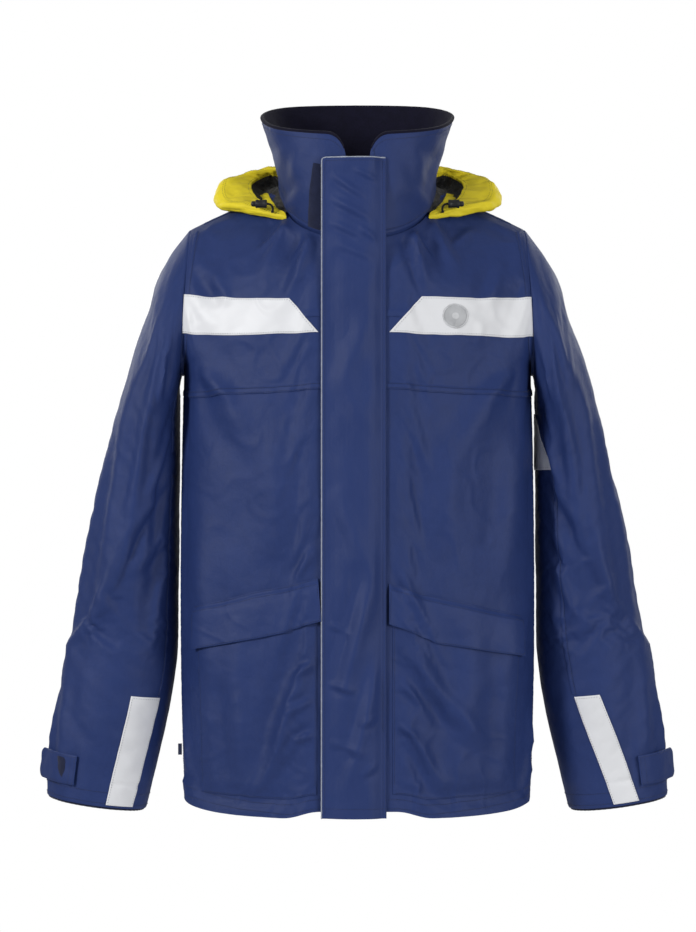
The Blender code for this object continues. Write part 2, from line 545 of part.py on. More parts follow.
def make_sleeve(side, tag):
    round_arm = np.linspace(0, 2 * math.pi, 18, endpoint=False)
    turn = np.array([side, 1, 1])
    for name in ("sleeve_upper_", "sleeve_elbow_"):
        PIVOTS[name + tag] = SHOULDER * turn
    for name in ("sleeve_forearm_", "inner_cuff_", "forearm_band_", "cuff_loop_patch_"):
        PIVOTS[name + tag] = ELBOW * turn
    # name, the first and last place along the arm, rings of points
    for name, first, last, rings in (("sleeve_cap_", 0.0012, 0.1220, 6), ("sleeve_upper_", 0.1235, 0.1900, 4),
                                     ("sleeve_elbow_", 0.1915, 0.3320, 6), ("sleeve_forearm_", 0.3335, 0.6300, 7)):
        tube_slab(name + tag, side, round_arm, np.linspace(first, last, rings), "shell", ring=True)
    tube_slab("inner_cuff_" + tag, side, round_arm, np.linspace(0.560, 0.6330, 3), "lining",
              (-4.6 * MM, -2.6 * MM), ring=True)
    # the reflective band slants across the forearm, further round to the inside on the left
    v = np.linspace(0.491, 0.627, 6)[:, None]
    share = (v - 0.491) / 0.136
    low, high = ((94.0, 70.0), (120.0, 99.0)) if side > 0 else ((109.6, 103.8), (143.4, 137.4))
    low, high = np.radians(blend(*low, share)), np.radians(blend(*high, share))
    a = blend(low, high, np.linspace(0, 1, 5)[None, :])
    v = v + 0 * a
    slab("forearm_band_" + tag, SLEEVE.at(a, v, 1.9 * MM) * turn, SLEEVE.at(a, v, 1.3 * MM) * turn, "reflective")
    make_cuff_tab(side, tag)
    if side > 0:
        PIVOTS["underarm_band"] = SHOULDER
        v = np.linspace(0.120, 0.2070, 5)[:, None]
        share = (v - 0.120) / 0.087
        a = np.radians(blend(178.0, blend(178.0, 130.0, share), np.linspace(0, 1, 5)[None, :]))
        a = np.where(share < 0.01, np.radians(178.0 - 3.0 * np.linspace(0, 1, 5)[None, :]), a)
        slab("underarm_band", SLEEVE.at(a, v + 0 * a, 1.7 * MM), SLEEVE.at(a, v + 0 * a, 1.1 * MM), "reflective")


TAB_PLACE = (0.5720, 0.6090)  # along the sleeve
TAB_ANGLES = (66.0, 60.0, 50.0, 38.0, 26.0)


def make_cuff_tab(side, tag):
    """A strap sewn beside the band that reaches past the outside of the cuff, over a loop patch."""
    turn = (side, 1, 1)
    a, v = np.meshgrid(np.radians(TAB_ANGLES), TAB_PLACE)
    under, over = SLEEVE.at(a, v, 2.4 * MM), SLEEVE.at(a, v, 4.0 * MM)
    way = under[:, -1] - under[:, -2]
    way /= np.linalg.norm(way, axis=-1, keepdims=True)
    for reach in (0.012, 0.025):
        under = np.concatenate([under, (under[:, 4] + way * reach)[:, None]], axis=1)
        over = np.concatenate([over, (over[:, 4] + way * reach)[:, None]], axis=1)
    PIVOTS["cuff_tab_" + tag] = under[:, 0].mean(axis=0) * turn
    slab("cuff_tab_" + tag, over * turn, under * turn, "shell")
    a, v = np.meshgrid(np.radians(np.linspace(54, -10, 7)), (TAB_PLACE[0] + 0.004, TAB_PLACE[1] - 0.004))
    slab("cuff_loop_patch_" + tag, SLEEVE.at(a, v, 1.7 * MM) * turn, SLEEVE.at(a, v, 1.0 * MM) * turn, "tape")


for sign, letter in ((1, "R"), (-1, "L")):
    make_front(sign, letter)
    make_sleeve(sign, letter)
make_back()
make_bands()
make_pocket(-1, "L", 0.0500, [(0.0480, 0.3060), (0.130, 0.2900), (0.2030, 0.2700)],
            [(0.0440, 0.2536), (0.117, 0.2353), (0.2030, 0.2170)], 0.2700)
make_pocket(1, "R", 0.0425, [(0.0425, 0.2980), (0.125, 0.2790), (0.2030, 0.2590)],
            [(0.0425, 0.2480), (0.101, 0.2280), (0.2030, 0.2090)], 0.2640)
make_storm_flap()
make_zip()
make_collar()
make_hanging_loop()
make_side_label()
make_hood()
make_cord_locks()
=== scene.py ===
"""The look of a foul weather jacket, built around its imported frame.

Metres, +Z up, -Y to the front. R names the side at +X and L the side at -X.
Heights inside this file are above the hem; everything moves by ORIGIN as it is made.
"""

import json
import math

import bpy
import numpy as np
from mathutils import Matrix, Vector

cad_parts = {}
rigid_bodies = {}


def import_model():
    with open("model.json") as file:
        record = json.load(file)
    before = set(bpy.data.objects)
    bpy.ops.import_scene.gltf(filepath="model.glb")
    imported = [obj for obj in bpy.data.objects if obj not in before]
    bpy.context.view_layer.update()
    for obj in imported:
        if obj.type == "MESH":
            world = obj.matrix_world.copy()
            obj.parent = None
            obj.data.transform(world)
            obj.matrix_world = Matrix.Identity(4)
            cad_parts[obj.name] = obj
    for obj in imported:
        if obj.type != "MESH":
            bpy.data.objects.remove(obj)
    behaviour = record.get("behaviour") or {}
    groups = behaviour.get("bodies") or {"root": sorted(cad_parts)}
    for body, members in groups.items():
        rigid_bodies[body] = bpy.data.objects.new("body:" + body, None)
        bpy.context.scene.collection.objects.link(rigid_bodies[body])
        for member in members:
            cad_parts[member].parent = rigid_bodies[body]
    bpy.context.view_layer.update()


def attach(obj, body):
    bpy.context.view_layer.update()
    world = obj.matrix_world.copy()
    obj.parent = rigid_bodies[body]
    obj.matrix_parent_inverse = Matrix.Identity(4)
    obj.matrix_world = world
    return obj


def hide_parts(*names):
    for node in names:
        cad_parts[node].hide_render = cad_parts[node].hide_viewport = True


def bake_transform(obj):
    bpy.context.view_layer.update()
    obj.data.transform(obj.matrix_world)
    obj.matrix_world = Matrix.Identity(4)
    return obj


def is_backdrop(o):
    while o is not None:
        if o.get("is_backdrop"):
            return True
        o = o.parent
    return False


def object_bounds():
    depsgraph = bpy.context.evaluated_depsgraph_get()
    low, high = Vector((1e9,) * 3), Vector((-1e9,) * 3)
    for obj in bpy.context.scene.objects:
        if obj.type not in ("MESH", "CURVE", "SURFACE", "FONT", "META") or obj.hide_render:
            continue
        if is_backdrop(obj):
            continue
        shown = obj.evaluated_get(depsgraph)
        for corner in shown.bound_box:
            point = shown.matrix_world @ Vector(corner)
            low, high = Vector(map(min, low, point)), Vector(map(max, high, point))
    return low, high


for item in list(bpy.data.objects):
    bpy.data.objects.remove(item, do_unlink=True)
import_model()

MM = 0.001
ORIGIN = np.array([0.0, 0.0700, 0.8300])
HEM_Y, FRONT_LEAN = -0.1500, 0.0381
HALF_WIDTH = 0.2220
SEAM = 0.0048
ZIP_HALF = 13.5 * MM
ZIP_BOTTOM, ZIP_TOP, SLIDER_Z = 0.030, 0.812, 0.786
FLAP_BOTTOM, FLAP_TOP = 0.0155, 0.8190
LOCK_AT = (0.1200, -0.0620, 0.7690)
TAB_PLACE, TAB_ANGLES = (0.5720, 0.6090), (66.0, 60.0, 50.0, 38.0, 26.0)
SIDES = ((1, "R"), (-1, "L"))


# ---------------------------------------------------------------- smooth surfaces, the same as the frame's

def slopes(knots):
    n, gap = len(knots), np.diff(knots)
    rise = (np.eye(n)[1:] - np.eye(n)[:-1]) / gap[:, None]
    inner = (gap[:-1, None] * rise[1:] + gap[1:, None] * rise[:-1]) / (gap[1:] + gap[:-1])[:, None]
    return np.vstack([1.5 * rise[0] - 0.5 * inner[0], inner, 1.5 * rise[-1] - 0.5 * inner[-1]])


def weights(knots, at):
    """Rows of weights that turn the values at the knots into a smooth curve's values at these places."""
    knots = np.asarray(knots, float)
    k = np.clip(np.searchsorted(knots, at, side="right") - 1, 0, len(knots) - 2)
    gap = (knots[k + 1] - knots[k])[:, None]
    r = ((at - knots[k]) / gap[:, 0])[:, None]
    one, slope = np.eye(len(knots)), slopes(knots)
    return ((2 * r**3 - 3 * r**2 + 1) * one[k] + (r**3 - 2 * r**2 + r) * gap * slope[k]
            + (3 * r**2 - 2 * r**3) * one[k + 1] + (r**3 - r**2) * gap * slope[k + 1])


class Patch:
    """A smooth surface through rows of points, u across and v up, with its outside on the given side."""

    def __init__(self, rows, across, up, out=1):
        self.rows, self.across, self.up, self.out = np.array(rows, float), across, up, out

    def point(self, u, v):
        u, v = np.broadcast_arrays(np.asarray(u, float), np.asarray(v, float))
        rows = weights(self.up, v.ravel())
        found = np.einsum("kj,kjc->kc", weights(self.across, u.ravel()),
                          np.tensordot(rows, self.rows, (1, 0)))
        return found.reshape(u.shape + (3,))

    def normal(self, u, v):
        step = 1e-3
        du = self.point(u + step, v) - self.point(u - step, v)
        dv = self.point(u, v + step) - self.point(u, v - step)
        way = np.cross(du, dv) * self.out
        return way / np.linalg.norm(way, axis=-1, keepdims=True)


class Tube:
    """A smooth tube through rings, each a centre, the way to angle 0 and the way to 90 degrees."""

    def __init__(self, rings, along):
        self.rings, self.along = np.array(rings, float), along

    def point(self, angle, v):
        angle, v = np.broadcast_arrays(np.asarray(angle, float), np.asarray(v, float))
        centre, first, second = np.moveaxis(
            np.tensordot(weights(self.along, v.ravel()), self.rings, (1, 0)), 1, 0)
        a = angle.ravel()[:, None]
        return (centre + first * np.cos(a) + second * np.sin(a)).reshape(angle.shape + (3,))

    def normal(self, angle, v):
        step = 1e-3
        across = self.point(angle + step, v) - self.point(angle - step, v)
        along = self.point(angle, v + step) - self.point(angle, v - step)
        way = np.cross(along, across)
        way /= np.linalg.norm(way, axis=-1, keepdims=True)
        here = self.point(angle, v)
        outward = here - (here + self.point(angle + math.pi, v)) / 2
        return way * np.sign(np.sum(way * outward, -1, keepdims=True))


def mirrored(half):
    half = np.array(half, float)
    return np.concatenate([half[:, :0:-1] * (-1, 1, 1), half], axis=1)


def line_y(z):
    return HEM_Y + FRONT_LEAN * z


ACROSS = (0.0, 0.26, 0.48, 0.67, 0.86, 1.0)
BOTH = tuple(-a for a in ACROSS[:0:-1]) + ACROSS
UP = (0.0, 0.22, 0.45, 0.645, 0.66, 0.74, 0.81, 0.90, 1.0)


def section(z, half_width, side_y, side_z, middle_y):
    row = []
    for a in ACROSS:
        share = math.sin(a * math.pi / 2)
        bow = (1 - share**2.3) ** (1 / 2.3) if a < 1 else 0.0
        row.append((half_width * share, side_y + (middle_y - side_y) * bow, z + (side_z - z) * a**3))
    return row


ARMHOLE = ((0.2170, 0.002, 0.650), (-0.0045, 0.010, 0.094), (0.0, -0.0675, -0.006))


def armhole(degrees, inset=0.9 * MM):
    centre, first, second = np.array(ARMHOLE)
    a = math.radians(degrees)
    return tuple(centre + first * math.cos(a) + second * math.sin(a) - (inset, 0, 0))


NECK = [(0, -0.1224, 0.7235), (0.046, -0.1085, 0.7275), (0.082, -0.0640, 0.752), (0.0985, 0.0120, 0.7935)]
NECK_BACK = [(0, 0.0900, 0.8070), (0.040, 0.0850, 0.8065), (0.076, 0.0600, 0.8035), (0.0985, 0.0125, 0.7935)]
front_rows = [
    section(0.014, 0.2170, -0.035, 0.032, line_y(0.014)),
    section(0.190, 0.2217, -0.034, 0.193, line_y(0.190)),
    section(0.380, 0.2220, -0.028, 0.380, line_y(0.380)),
    section(0.534, 0.2200, -0.010, 0.544, line_y(0.534)),
    section(0.545, 0.2199, -0.008, 0.556, line_y(0.545)),
    [(0, line_y(0.61), 0.610), (0.066, -0.1245, 0.609), (0.122, -0.1125, 0.606), (0.163, -0.0960, 0.600),
     (0.198, -0.0745, 0.592), armhole(130)],
    [(0, line_y(0.67), 0.670), (0.063, -0.1200, 0.670), (0.117, -0.1060, 0.669), (0.156, -0.0910, 0.664),
     (0.193, -0.0750, 0.656), armhole(85)],
    [(0, line_y(0.703), 0.703), (0.055, -0.1120, 0.707), (0.099, -0.0820, 0.722), (0.130, -0.0560, 0.735),
     (0.175, -0.0450, 0.730), armhole(40)],
    NECK + [(0.158, 0.0125, 0.7700), armhole(0)],
]
back_rows = [
    section(0.012, 0.2170, -0.035, 0.032, 0.128),
    section(0.190, 0.2217, -0.034, 0.193, 0.132),
    section(0.380, 0.2220, -0.028, 0.380, 0.135),
    section(0.536, 0.2200, -0.010, 0.544, 0.137),
    section(0.550, 0.2199, -0.008, 0.556, 0.137),
    [(0, 0.1370, 0.630), (0.066, 0.1330, 0.630), (0.120, 0.1190, 0.626), (0.160, 0.0960, 0.618),
     (0.198, 0.0680, 0.604), armhole(230)],
    [(0, 0.1330, 0.700), (0.063, 0.1290, 0.700), (0.115, 0.1160, 0.696), (0.154, 0.0980, 0.688),
     (0.194, 0.0810, 0.675), armhole(275)],
    [(0, 0.1180, 0.766), (0.054, 0.1130, 0.766), (0.100, 0.0950, 0.762), (0.132, 0.0750, 0.754),
     (0.178, 0.0630, 0.741), armhole(320)],
    NECK_BACK + [(0.158, 0.0130, 0.7700), armhole(0)],
]
COLLAR_ACROSS = (0.0, 0.16, 0.34, 0.54, 0.76, 1.0)
collar_rows = [
    [(0, line_y(0.7250), 0.7250), (0.047, -0.1090, 0.7290), (0.083, -0.0650, 0.7535),
     (0.0995, 0.0120, 0.7955), (0.0765, 0.0610, 0.8060), (0, 0.0915, 0.8095)],
    [(0, line_y(0.776), 0.776), (0.052, -0.1145, 0.788), (0.090, -0.0720, 0.808), (0.1055, 0.0020, 0.840),
     (0.0840, 0.0700, 0.860), (0, 0.1050, 0.867)],
    [(0, line_y(0.853), 0.853), (0.052, -0.1150, 0.854), (0.103, -0.0830, 0.863), (0.1225, -0.0090, 0.886),
     (0.0950, 0.0740, 0.907), (0, 0.1160, 0.9155)],
]
collar_rows = [row + [(-x, y, z) for x, y, z in row[-2::-1]] for row in collar_rows]
HOOD_ACROSS = (0.0, 0.3, 0.6, 0.82, 1.0)
hood_rows = [
    [(0, 0.1060, 0.8160), (0.074, 0.0820, 0.8150), (0.1145, 0.0330, 0.8260), (0.1130, -0.0120, 0.8060),
     (0.0935, -0.0530, 0.7720)],
    [(0, 0.1480, 0.7760), (0.092, 0.1230, 0.7780), (0.1330, 0.0420, 0.7980), (0.1280, -0.0200, 0.7880),
     (0.0960, -0.0590, 0.7680)],
    [(0, 0.2050, 0.7460), (0.128, 0.1680, 0.7520), (0.1740, 0.0440, 0.7840), (0.1520, -0.0240, 0.7780),
     (0.0985, -0.0630, 0.7650)],
    [(0, 0.1950, 0.8320), (0.122, 0.1560, 0.8300), (0.1700, 0.0460, 0.8110), (0.1480, -0.0140, 0.7980),
     (0.0990, -0.0570, 0.7700)],
]
sleeve_rings = [
    ARMHOLE,
    ((0.2330, 0.006, 0.6225), (0.0080, 0.006, 0.0825), (-0.003, -0.0800, -0.008)),
    ((0.2510, 0.009, 0.5725), (0.0260, 0.003, 0.0525), (0.0, -0.0855, -0.006)),
    ((0.2695, 0.012, 0.5000), (0.0440, 0.0, 0.0055), (0.0, -0.0850, 0.0)),
    ((0.2760, 0.012, 0.4400), (0.0505, 0.0, 0.0060), (0.0, -0.0810, 0.0)),
    ((0.2844, 0.010, 0.3700), (0.0586, 0.0, 0.0070), (0.0, -0.0770, 0.0)),
    ((0.2912, 0.006, 0.3000), (0.0648, 0.0, 0.0078), (0.0, -0.0730, 0.0)),
    ((0.2990, 0.000, 0.2060), (0.0710, 0.0, 0.0085), (0.0, -0.0680, 0.0)),
    ((0.3090, -0.006, 0.1400), (0.0710, 0.0, 0.0085), (0.0, -0.0640, 0.0)),
    ((0.3196, -0.010, 0.0800), (0.0680, 0.0, 0.0090), (0.0, -0.0590, 0.0)),
    ((0.3290, -0.014, 0.0200), (0.0630, 0.0, 0.0090), (0.0, -0.0540, 0.0)),
]


# ---------------------------------------------------------------- folds

class Noise:
    """Smooth seeded noise on a plane, from about -1 to 1."""

    def __init__(self, seed):
        self.ways = np.random.default_rng(seed).uniform(0, 2 * math.pi, (64, 64))

    def at(self, x, y, size):
        x, y = x / size, y / size
        i, j = np.floor(x).astype(int), np.floor(y).astype(int)
        p, q = x - i, y - j
        total = 0.0
        for a in (0, 1):
            for b in (0, 1):
                way = self.ways[(i + a) % 64, (j + b) % 64]
                share = (step_up(p) if a else 1 - step_up(p)) * (step_up(q) if b else 1 - step_up(q))
                total = total + share * (np.cos(way) * (p - a) + np.sin(way) * (q - b))
        return 1.6 * total


def step_up(t):
    t = np.clip(t, 0, 1)
    return t * t * t * (t * (t * 6 - 15) + 10)


def ridge(x, z, start, end, width, height, sink=0.5):
    """A soft fold along a line, with a shallow valley beside it, that fades at both ends."""
    (x0, z0), (x1, z1) = start, end
    dx, dz = x1 - x0, z1 - z0
    length = math.hypot(dx, dz)
    along = ((x - x0) * dx + (z - z0) * dz) / length**2
    beside = ((x - x0) * dz - (z - z0) * dx) / length
    fade = np.clip(1 - (2 * along - 1) ** 2, 0, 1) ** 1.3
    return height * fade * (np.exp(-(beside / width) ** 2)
                            - sink * np.exp(-((beside - 1.7 * width) / width) ** 2))


class Cloth:
    """A surface with its folds, from a function of the place, and what the simulation adds to them."""

    def __init__(self, surface, folds):
        self.surface, self.folds, self.grid, self.hem = surface, folds, None, None
        self.ring = isinstance(surface, Tube)

    def at(self, u, v, out=0.0):
        u, v = np.broadcast_arrays(np.asarray(u, float), np.asarray(v, float))
        base, normal = self.surface.point(u, v), self.surface.normal(u, v)
        found = base + normal * np.broadcast_to(out + self.folds(u, v, base), u.shape)[..., None]
        if self.hem is not None:
            found[..., 2] += self.hem(u, v, base)
        return found if self.grid is None else found + self.moved(u, v)

    def moved(self, u, v):
        """The simulated shift at these places, read between the points of its grid."""
        us, vs, shift = self.grid
        u = np.mod(u, 2 * math.pi) if self.ring else u
        i = np.clip(np.interp(u, us, np.arange(len(us))), 0, len(us) - 1.001)
        j = np.clip(np.interp(v, vs, np.arange(len(vs))), 0, len(vs) - 1.001)
        a, b = i.astype(int), j.astype(int)
        p, q = (i - a)[..., None], (j - b)[..., None]
        return ((shift[b, a] * (1 - p) + shift[b, a + 1] * p) * (1 - q)
                + (shift[b + 1, a] * (1 - p) + shift[b + 1, a + 1] * p) * q)


NOISE = [Noise(seed) for seed in (3, 5, 8, 13, 21, 34)]

# Folds on the front: start, end (distance from the middle, height), half width, height in mm.
FRONT_FOLDS = (
    ((0.048, 0.238), (0.172, 0.080), 0.0110, 6.7), ((0.050, 0.150), (0.110, 0.040), 0.0093, 4.9),
    ((0.150, 0.255), (0.120, 0.030), 0.0187, 4.9), ((0.196, 0.300), (0.180, 0.030), 0.0153, 5.2),
    ((-0.050, 0.245), (-0.120, 0.040), 0.0127, 5.8), ((-0.160, 0.260), (-0.130, 0.020), 0.0170, 5.2),
    ((-0.200, 0.420), (-0.180, 0.060), 0.0153, 5.2), ((0.200, 0.500), (0.188, 0.300), 0.0153, 5.2),
    ((0.050, 0.790), (0.088, 0.655), 0.0076, 6.7), ((0.072, 0.780), (0.128, 0.680), 0.0085, 5.5),
    ((-0.044, 0.760), (-0.086, 0.645), 0.0085, 7.0), ((-0.070, 0.775), (-0.122, 0.680), 0.0085, 5.8),
    ((0.196, 0.600), (0.120, 0.440), 0.0153, 4.9), ((-0.196, 0.600), (-0.125, 0.440), 0.0153, 4.9),
    ((0.205, 0.575), (0.150, 0.520), 0.0085, 4.1), ((-0.205, 0.575), (-0.150, 0.520), 0.0085, 4.1),
    ((0.120, 0.520), (0.110, 0.320), 0.0221, 5.2), ((-0.105, 0.520), (-0.100, 0.320), 0.0221, 4.9),
    ((0.185, 0.700), (0.160, 0.640), 0.0085, 3.8), ((-0.185, 0.700), (-0.160, 0.640), 0.0085, 3.8),
    ((0.046, 0.330), (0.076, 0.262), 0.0059, 3.5), ((-0.052, 0.345), (-0.082, 0.300), 0.0059, 3.8),
    ((-0.052, 0.205), (-0.084, 0.182), 0.0051, 3.5), ((-0.052, 0.160), (-0.090, 0.140), 0.0051, 3.5),
    ((-0.052, 0.118), (-0.080, 0.108), 0.0043, 3.2), ((0.050, 0.182), (0.082, 0.150), 0.0051, 3.2),
    ((0.046, 0.130), (0.074, 0.112), 0.0043, 2.9), ((0.150, 0.745), (0.120, 0.715), 0.0068, 4.3),
)
BACK_FOLDS = (
    ((0.000, 0.640), (0.030, 0.200), 0.030, 4.0), ((0.095, 0.560), (0.080, 0.080), 0.028, 4.0),
    ((-0.085, 0.560), (-0.100, 0.080), 0.028, 4.0), ((0.190, 0.600), (0.090, 0.430), 0.020, 3.0),
    ((-0.190, 0.600), (-0.095, 0.430), 0.020, 3.0), ((0.160, 0.300), (0.170, 0.040), 0.024, 3.0),
    ((-0.160, 0.300), (-0.165, 0.040), 0.024, 3.0), ((0.180, 0.700), (0.110, 0.640), 0.015, 2.6),
    ((-0.180, 0.700), (-0.110, 0.640), 0.015, 2.6), ((0.010, 0.300), (-0.030, 0.020), 0.030, 3.0),
)
# Folds on a sleeve: start, end (angle in degrees, place along), half width, height in mm.
SLEEVE_FOLDS = (
    ((60, 0.040), (72, 0.420), 0.014, 3.0), ((100, 0.060), (96, 0.330), 0.012, 2.8),
    ((28, 0.080), (40, 0.520), 0.014, 3.0), ((128, 0.110), (112, 0.420), 0.012, 2.6),
    ((-20, 0.060), (-10, 0.500), 0.018, 3.2), ((-70, 0.060), (-60, 0.450), 0.018, 3.0),
    ((-110, 0.100), (-120, 0.400), 0.018, 3.0), ((150, 0.150), (100, 0.250), 0.009, 2.4),
    ((146, 0.200), (86, 0.285), 0.009, 2.4), ((150, 0.270), (95, 0.330), 0.009, 2.0),
    ((50, 0.330), (110, 0.400), 0.010, 1.8), ((40, 0.450), (58, 0.620), 0.010, 2.4),
    ((16, 0.480), (22, 0.620), 0.009, 2.4), ((60, 0.500), (64, 0.630), 0.008, 1.6),
    ((-60, 0.280), (-140, 0.350), 0.012, 3.0), ((-50, 0.330), (-130, 0.400), 0.012, 3.0),
    ((105, 0.010), (120, 0.110), 0.009, 2.6), ((75, 0.008), (70, 0.120), 0.010, 2.4),
)


# what the listed heights of the body's folds are multiplied by
DEEPER = 1.25


def body_folds(folds, noise, loose):
    def lift(u, v, base):
        x, z = base[..., 0], base[..., 2]
        found = 0.0 * x
        for start, end, width, height in folds:
            found = found + ridge(x, z, start, end, width, DEEPER * height * MM)
        rough = (2.4 * NOISE[noise].at(x, z, 0.090) + 1.1 * NOISE[noise + 1].at(x, z, 0.034)
                 + 0.30 * NOISE[noise].at(x + 0.3, z, 0.012))
        found = found + loose * MM * rough
        # small sharp creases, in patches
        sharp = np.maximum(0, 1 - 5 * np.abs(NOISE[noise + 2].at(x + 0.6 * z, z - 0.3 * x + 2, 0.055)))
        patch = step_up(0.5 + 1.1 * NOISE[noise + 3].at(x + 1, z, 0.120))
        found = found + loose * (0.25 + patch) * 0.9 * MM * sharp**1.5
        # nothing moves where the panels are sewn to what is beside them
        held = step_up((1 - np.abs(u)) / 0.10) * step_up((1 - v) / 0.08)
        return found * held
    return lift


def front_lift(u, v, base):
    """The front's folds, which fade towards the strip under the storm flap, and puckers beside the seams."""
    x, z = base[..., 0], base[..., 2]
    found = body_folds(FRONT_FOLDS, 0, 1.0)(u, v, base)
    strip = step_up((np.maximum(x - 0.031, -0.038 - x)) / 0.022 + 0.08)
    pucker = 0.0
    for line, reach, size in ((np.abs(x - 0.036), 0.016, 0.010),
                              (np.abs(z - 0.541 + 0.02 * np.abs(x)), 0.010, 0.009)):
        along = z if size == 0.010 else x
        pucker = pucker + (0.38 * MM * NOISE[4].at(along, line * 0.3 + size, size)
                           * np.exp(-(line / reach) ** 2))
    hem = 0.5 * MM * NOISE[5].at(x, z * 0.2, 0.014) * np.exp(-((z - 0.022) / 0.012) ** 2)
    return (found + pucker + hem) * strip


def sleeve_folds(twist, slide):
    """The folds of one sleeve, with this much turn (degrees) and slide against the list."""
    def lift(angle, v, base):
        around = (np.degrees(angle) + 180) % 360 - 180
        reach = 0.075 * math.pi / 180
        found = 0.0 * v
        for (a0, v0), (a1, v1), width, height in SLEEVE_FOLDS:
            found = found + ridge((around - twist) * reach, v - slide, (a0 * reach, v0),
                                  (a1 * reach, v1), width, 1.5 * height * MM)
        x, y = 0.075 * np.cos(angle) + 0.01 * twist, 0.075 * np.sin(angle)
        rough = (2.4 * MM * NOISE[2].at(x + 0.7 * v, y + 0.4 * v + 1, 0.060)
                 + 1.0 * MM * NOISE[3].at(x + v, y - v + 1, 0.026)
                 + 0.28 * MM * NOISE[4].at(x + 0.9 * v, y + v, 0.011))
        # the inner side lies against the body
        clear = 1 - 0.75 * np.exp(-((np.abs(around) - 180) / 38) ** 2)
        held = step_up(v / 0.030) * (0.35 + 0.65 * step_up((0.630 - v) / 0.030))
        return (found + rough) * held * clear - 1.2 * MM * (1 - clear)
    return lift


def collar_lift(u, v, base):
    around = 0.2 * u
    found = (1.6 * MM * NOISE[2].at(around, base[..., 2], 0.050)
             + 0.7 * MM * NOISE[3].at(around, base[..., 2], 0.018))
    for start, end, width, height in (
            ((0.15, 0.60), (0.44, -0.15), 0.040, 3.4), ((0.20, 0.95), (0.30, 0.30), 0.035, 2.2),
            ((1.85, 0.60), (1.56, -0.15), 0.040, 3.6), ((1.80, 0.95), (1.70, 0.30), 0.035, 2.4),
            ((0.50, 0.95), (0.36, 0.10), 0.045, 3.2), ((1.50, 0.95), (1.64, 0.10), 0.045, 3.2),
            ((0.60, 0.98), (0.52, 0.55), 0.040, 2.6), ((1.42, 0.98), (1.50, 0.50), 0.040, 2.6),
            ((0.90, 0.05), (1.02, 0.85), 0.080, 3.0), ((1.20, 0.10), (1.12, 0.90), 0.060, 2.4)):
        found = found + ridge(u, v, start, end, width, height * MM)
    edge = np.minimum(u, 2.0 - u)
    return found * step_up(edge / 0.15) * step_up((v + 0.02) / 0.12) * (0.35 + 0.65 * step_up((1 - v) / 0.15))


# the place round the collar where it starts, beside the zip
FIRST = ZIP_HALF / 0.052 * 0.16


def lip(u, v):
    """v drawn down beside the front edges, where the collar's top corners round off."""
    near = np.clip((0.117 - np.minimum(u, 2.0 - u)) / (0.117 - FIRST), 0, 1)
    return v * (1 - 0.21 * (1 - np.sqrt(1 - near**2)))


def hood_lift(u, v, base):
    held = step_up(v / 0.15) * step_up((1 - np.abs(u)) / 0.12)
    rough = (3.0 * NOISE[1].at(0.2 * u, 0.1 * v, 0.030) + 1.6 * NOISE[2].at(0.2 * u, 0.1 * v, 0.013)
             + 0.5 * NOISE[3].at(0.2 * u, 0.1 * v, 0.006))
    return held * MM * rough


FRONT = Cloth(Patch(mirrored(front_rows), BOTH, UP), front_lift)
FRONT.hem = lambda u, v, base: (9 * MM * (1 - step_up((np.abs(base[..., 0]) - 0.042) / 0.055))
                                * step_up(1 - v / 0.10))
BACK = Cloth(Patch(mirrored(back_rows), BOTH, UP, out=-1), body_folds(BACK_FOLDS, 1, 1.6))
COLLAR = Cloth(Patch(collar_rows, COLLAR_ACROSS + tuple(2.0 - a for a in COLLAR_ACROSS[-2::-1]),
                     (0.0, 0.5, 1.0)),
               collar_lift)
HOOD = Cloth(Patch(mirrored(hood_rows), tuple(-a for a in HOOD_ACROSS[:0:-1]) + HOOD_ACROSS,
                   (0.0, 0.35, 0.68, 1.0), out=-1), hood_lift)
ARM = Tube(sleeve_rings, [0.65 - ring[0][2] for ring in sleeve_rings])
SLEEVES = {1: Cloth(ARM, sleeve_folds(0, 0.0)), -1: Cloth(ARM, sleeve_folds(-9, 0.016))}


# ---------------------------------------------------------------- making pieces

def piece(name, points, faces, look, places=None, sharp=45, smooth=True):
    """A mesh object from points, faces and, for each face's corners, places on the cloth in metres."""
    mesh = bpy.data.meshes.new(name)
    mesh.from_pydata((np.asarray(points, float) - ORIGIN).tolist(), [], [list(map(int, f)) for f in faces])
    layer = mesh.uv_layers.new(name="cloth")
    if places is not None:
        layer.data.foreach_set("uv", np.asarray(places, np.float32).ravel())
    mesh.materials.append(look)
    if smooth:
        mesh.shade_smooth()
        mesh.set_sharp_from_angle(angle=math.radians(sharp))
    item = bpy.data.objects.new(name, mesh)
    bpy.context.scene.collection.objects.link(item)
    return item


def grid_faces(rows, columns, ring, start=0, flip=False):
    """Quads over a grid of points, and each corner's place; a ring has one column of places more."""
    wide = columns if ring else columns - 1
    i, j = np.meshgrid(np.arange(rows - 1), np.arange(wide), indexing="ij")
    i, j = i.ravel(), j.ravel()
    corners = ((i, j), (i, j + 1), (i + 1, j + 1), (i + 1, j))
    if flip:
        corners = corners[::-1]
    faces = np.stack([start + a * columns + b % columns for a, b in corners], 1)
    return faces, np.stack([np.stack([a, b], 1) for a, b in corners], 1)


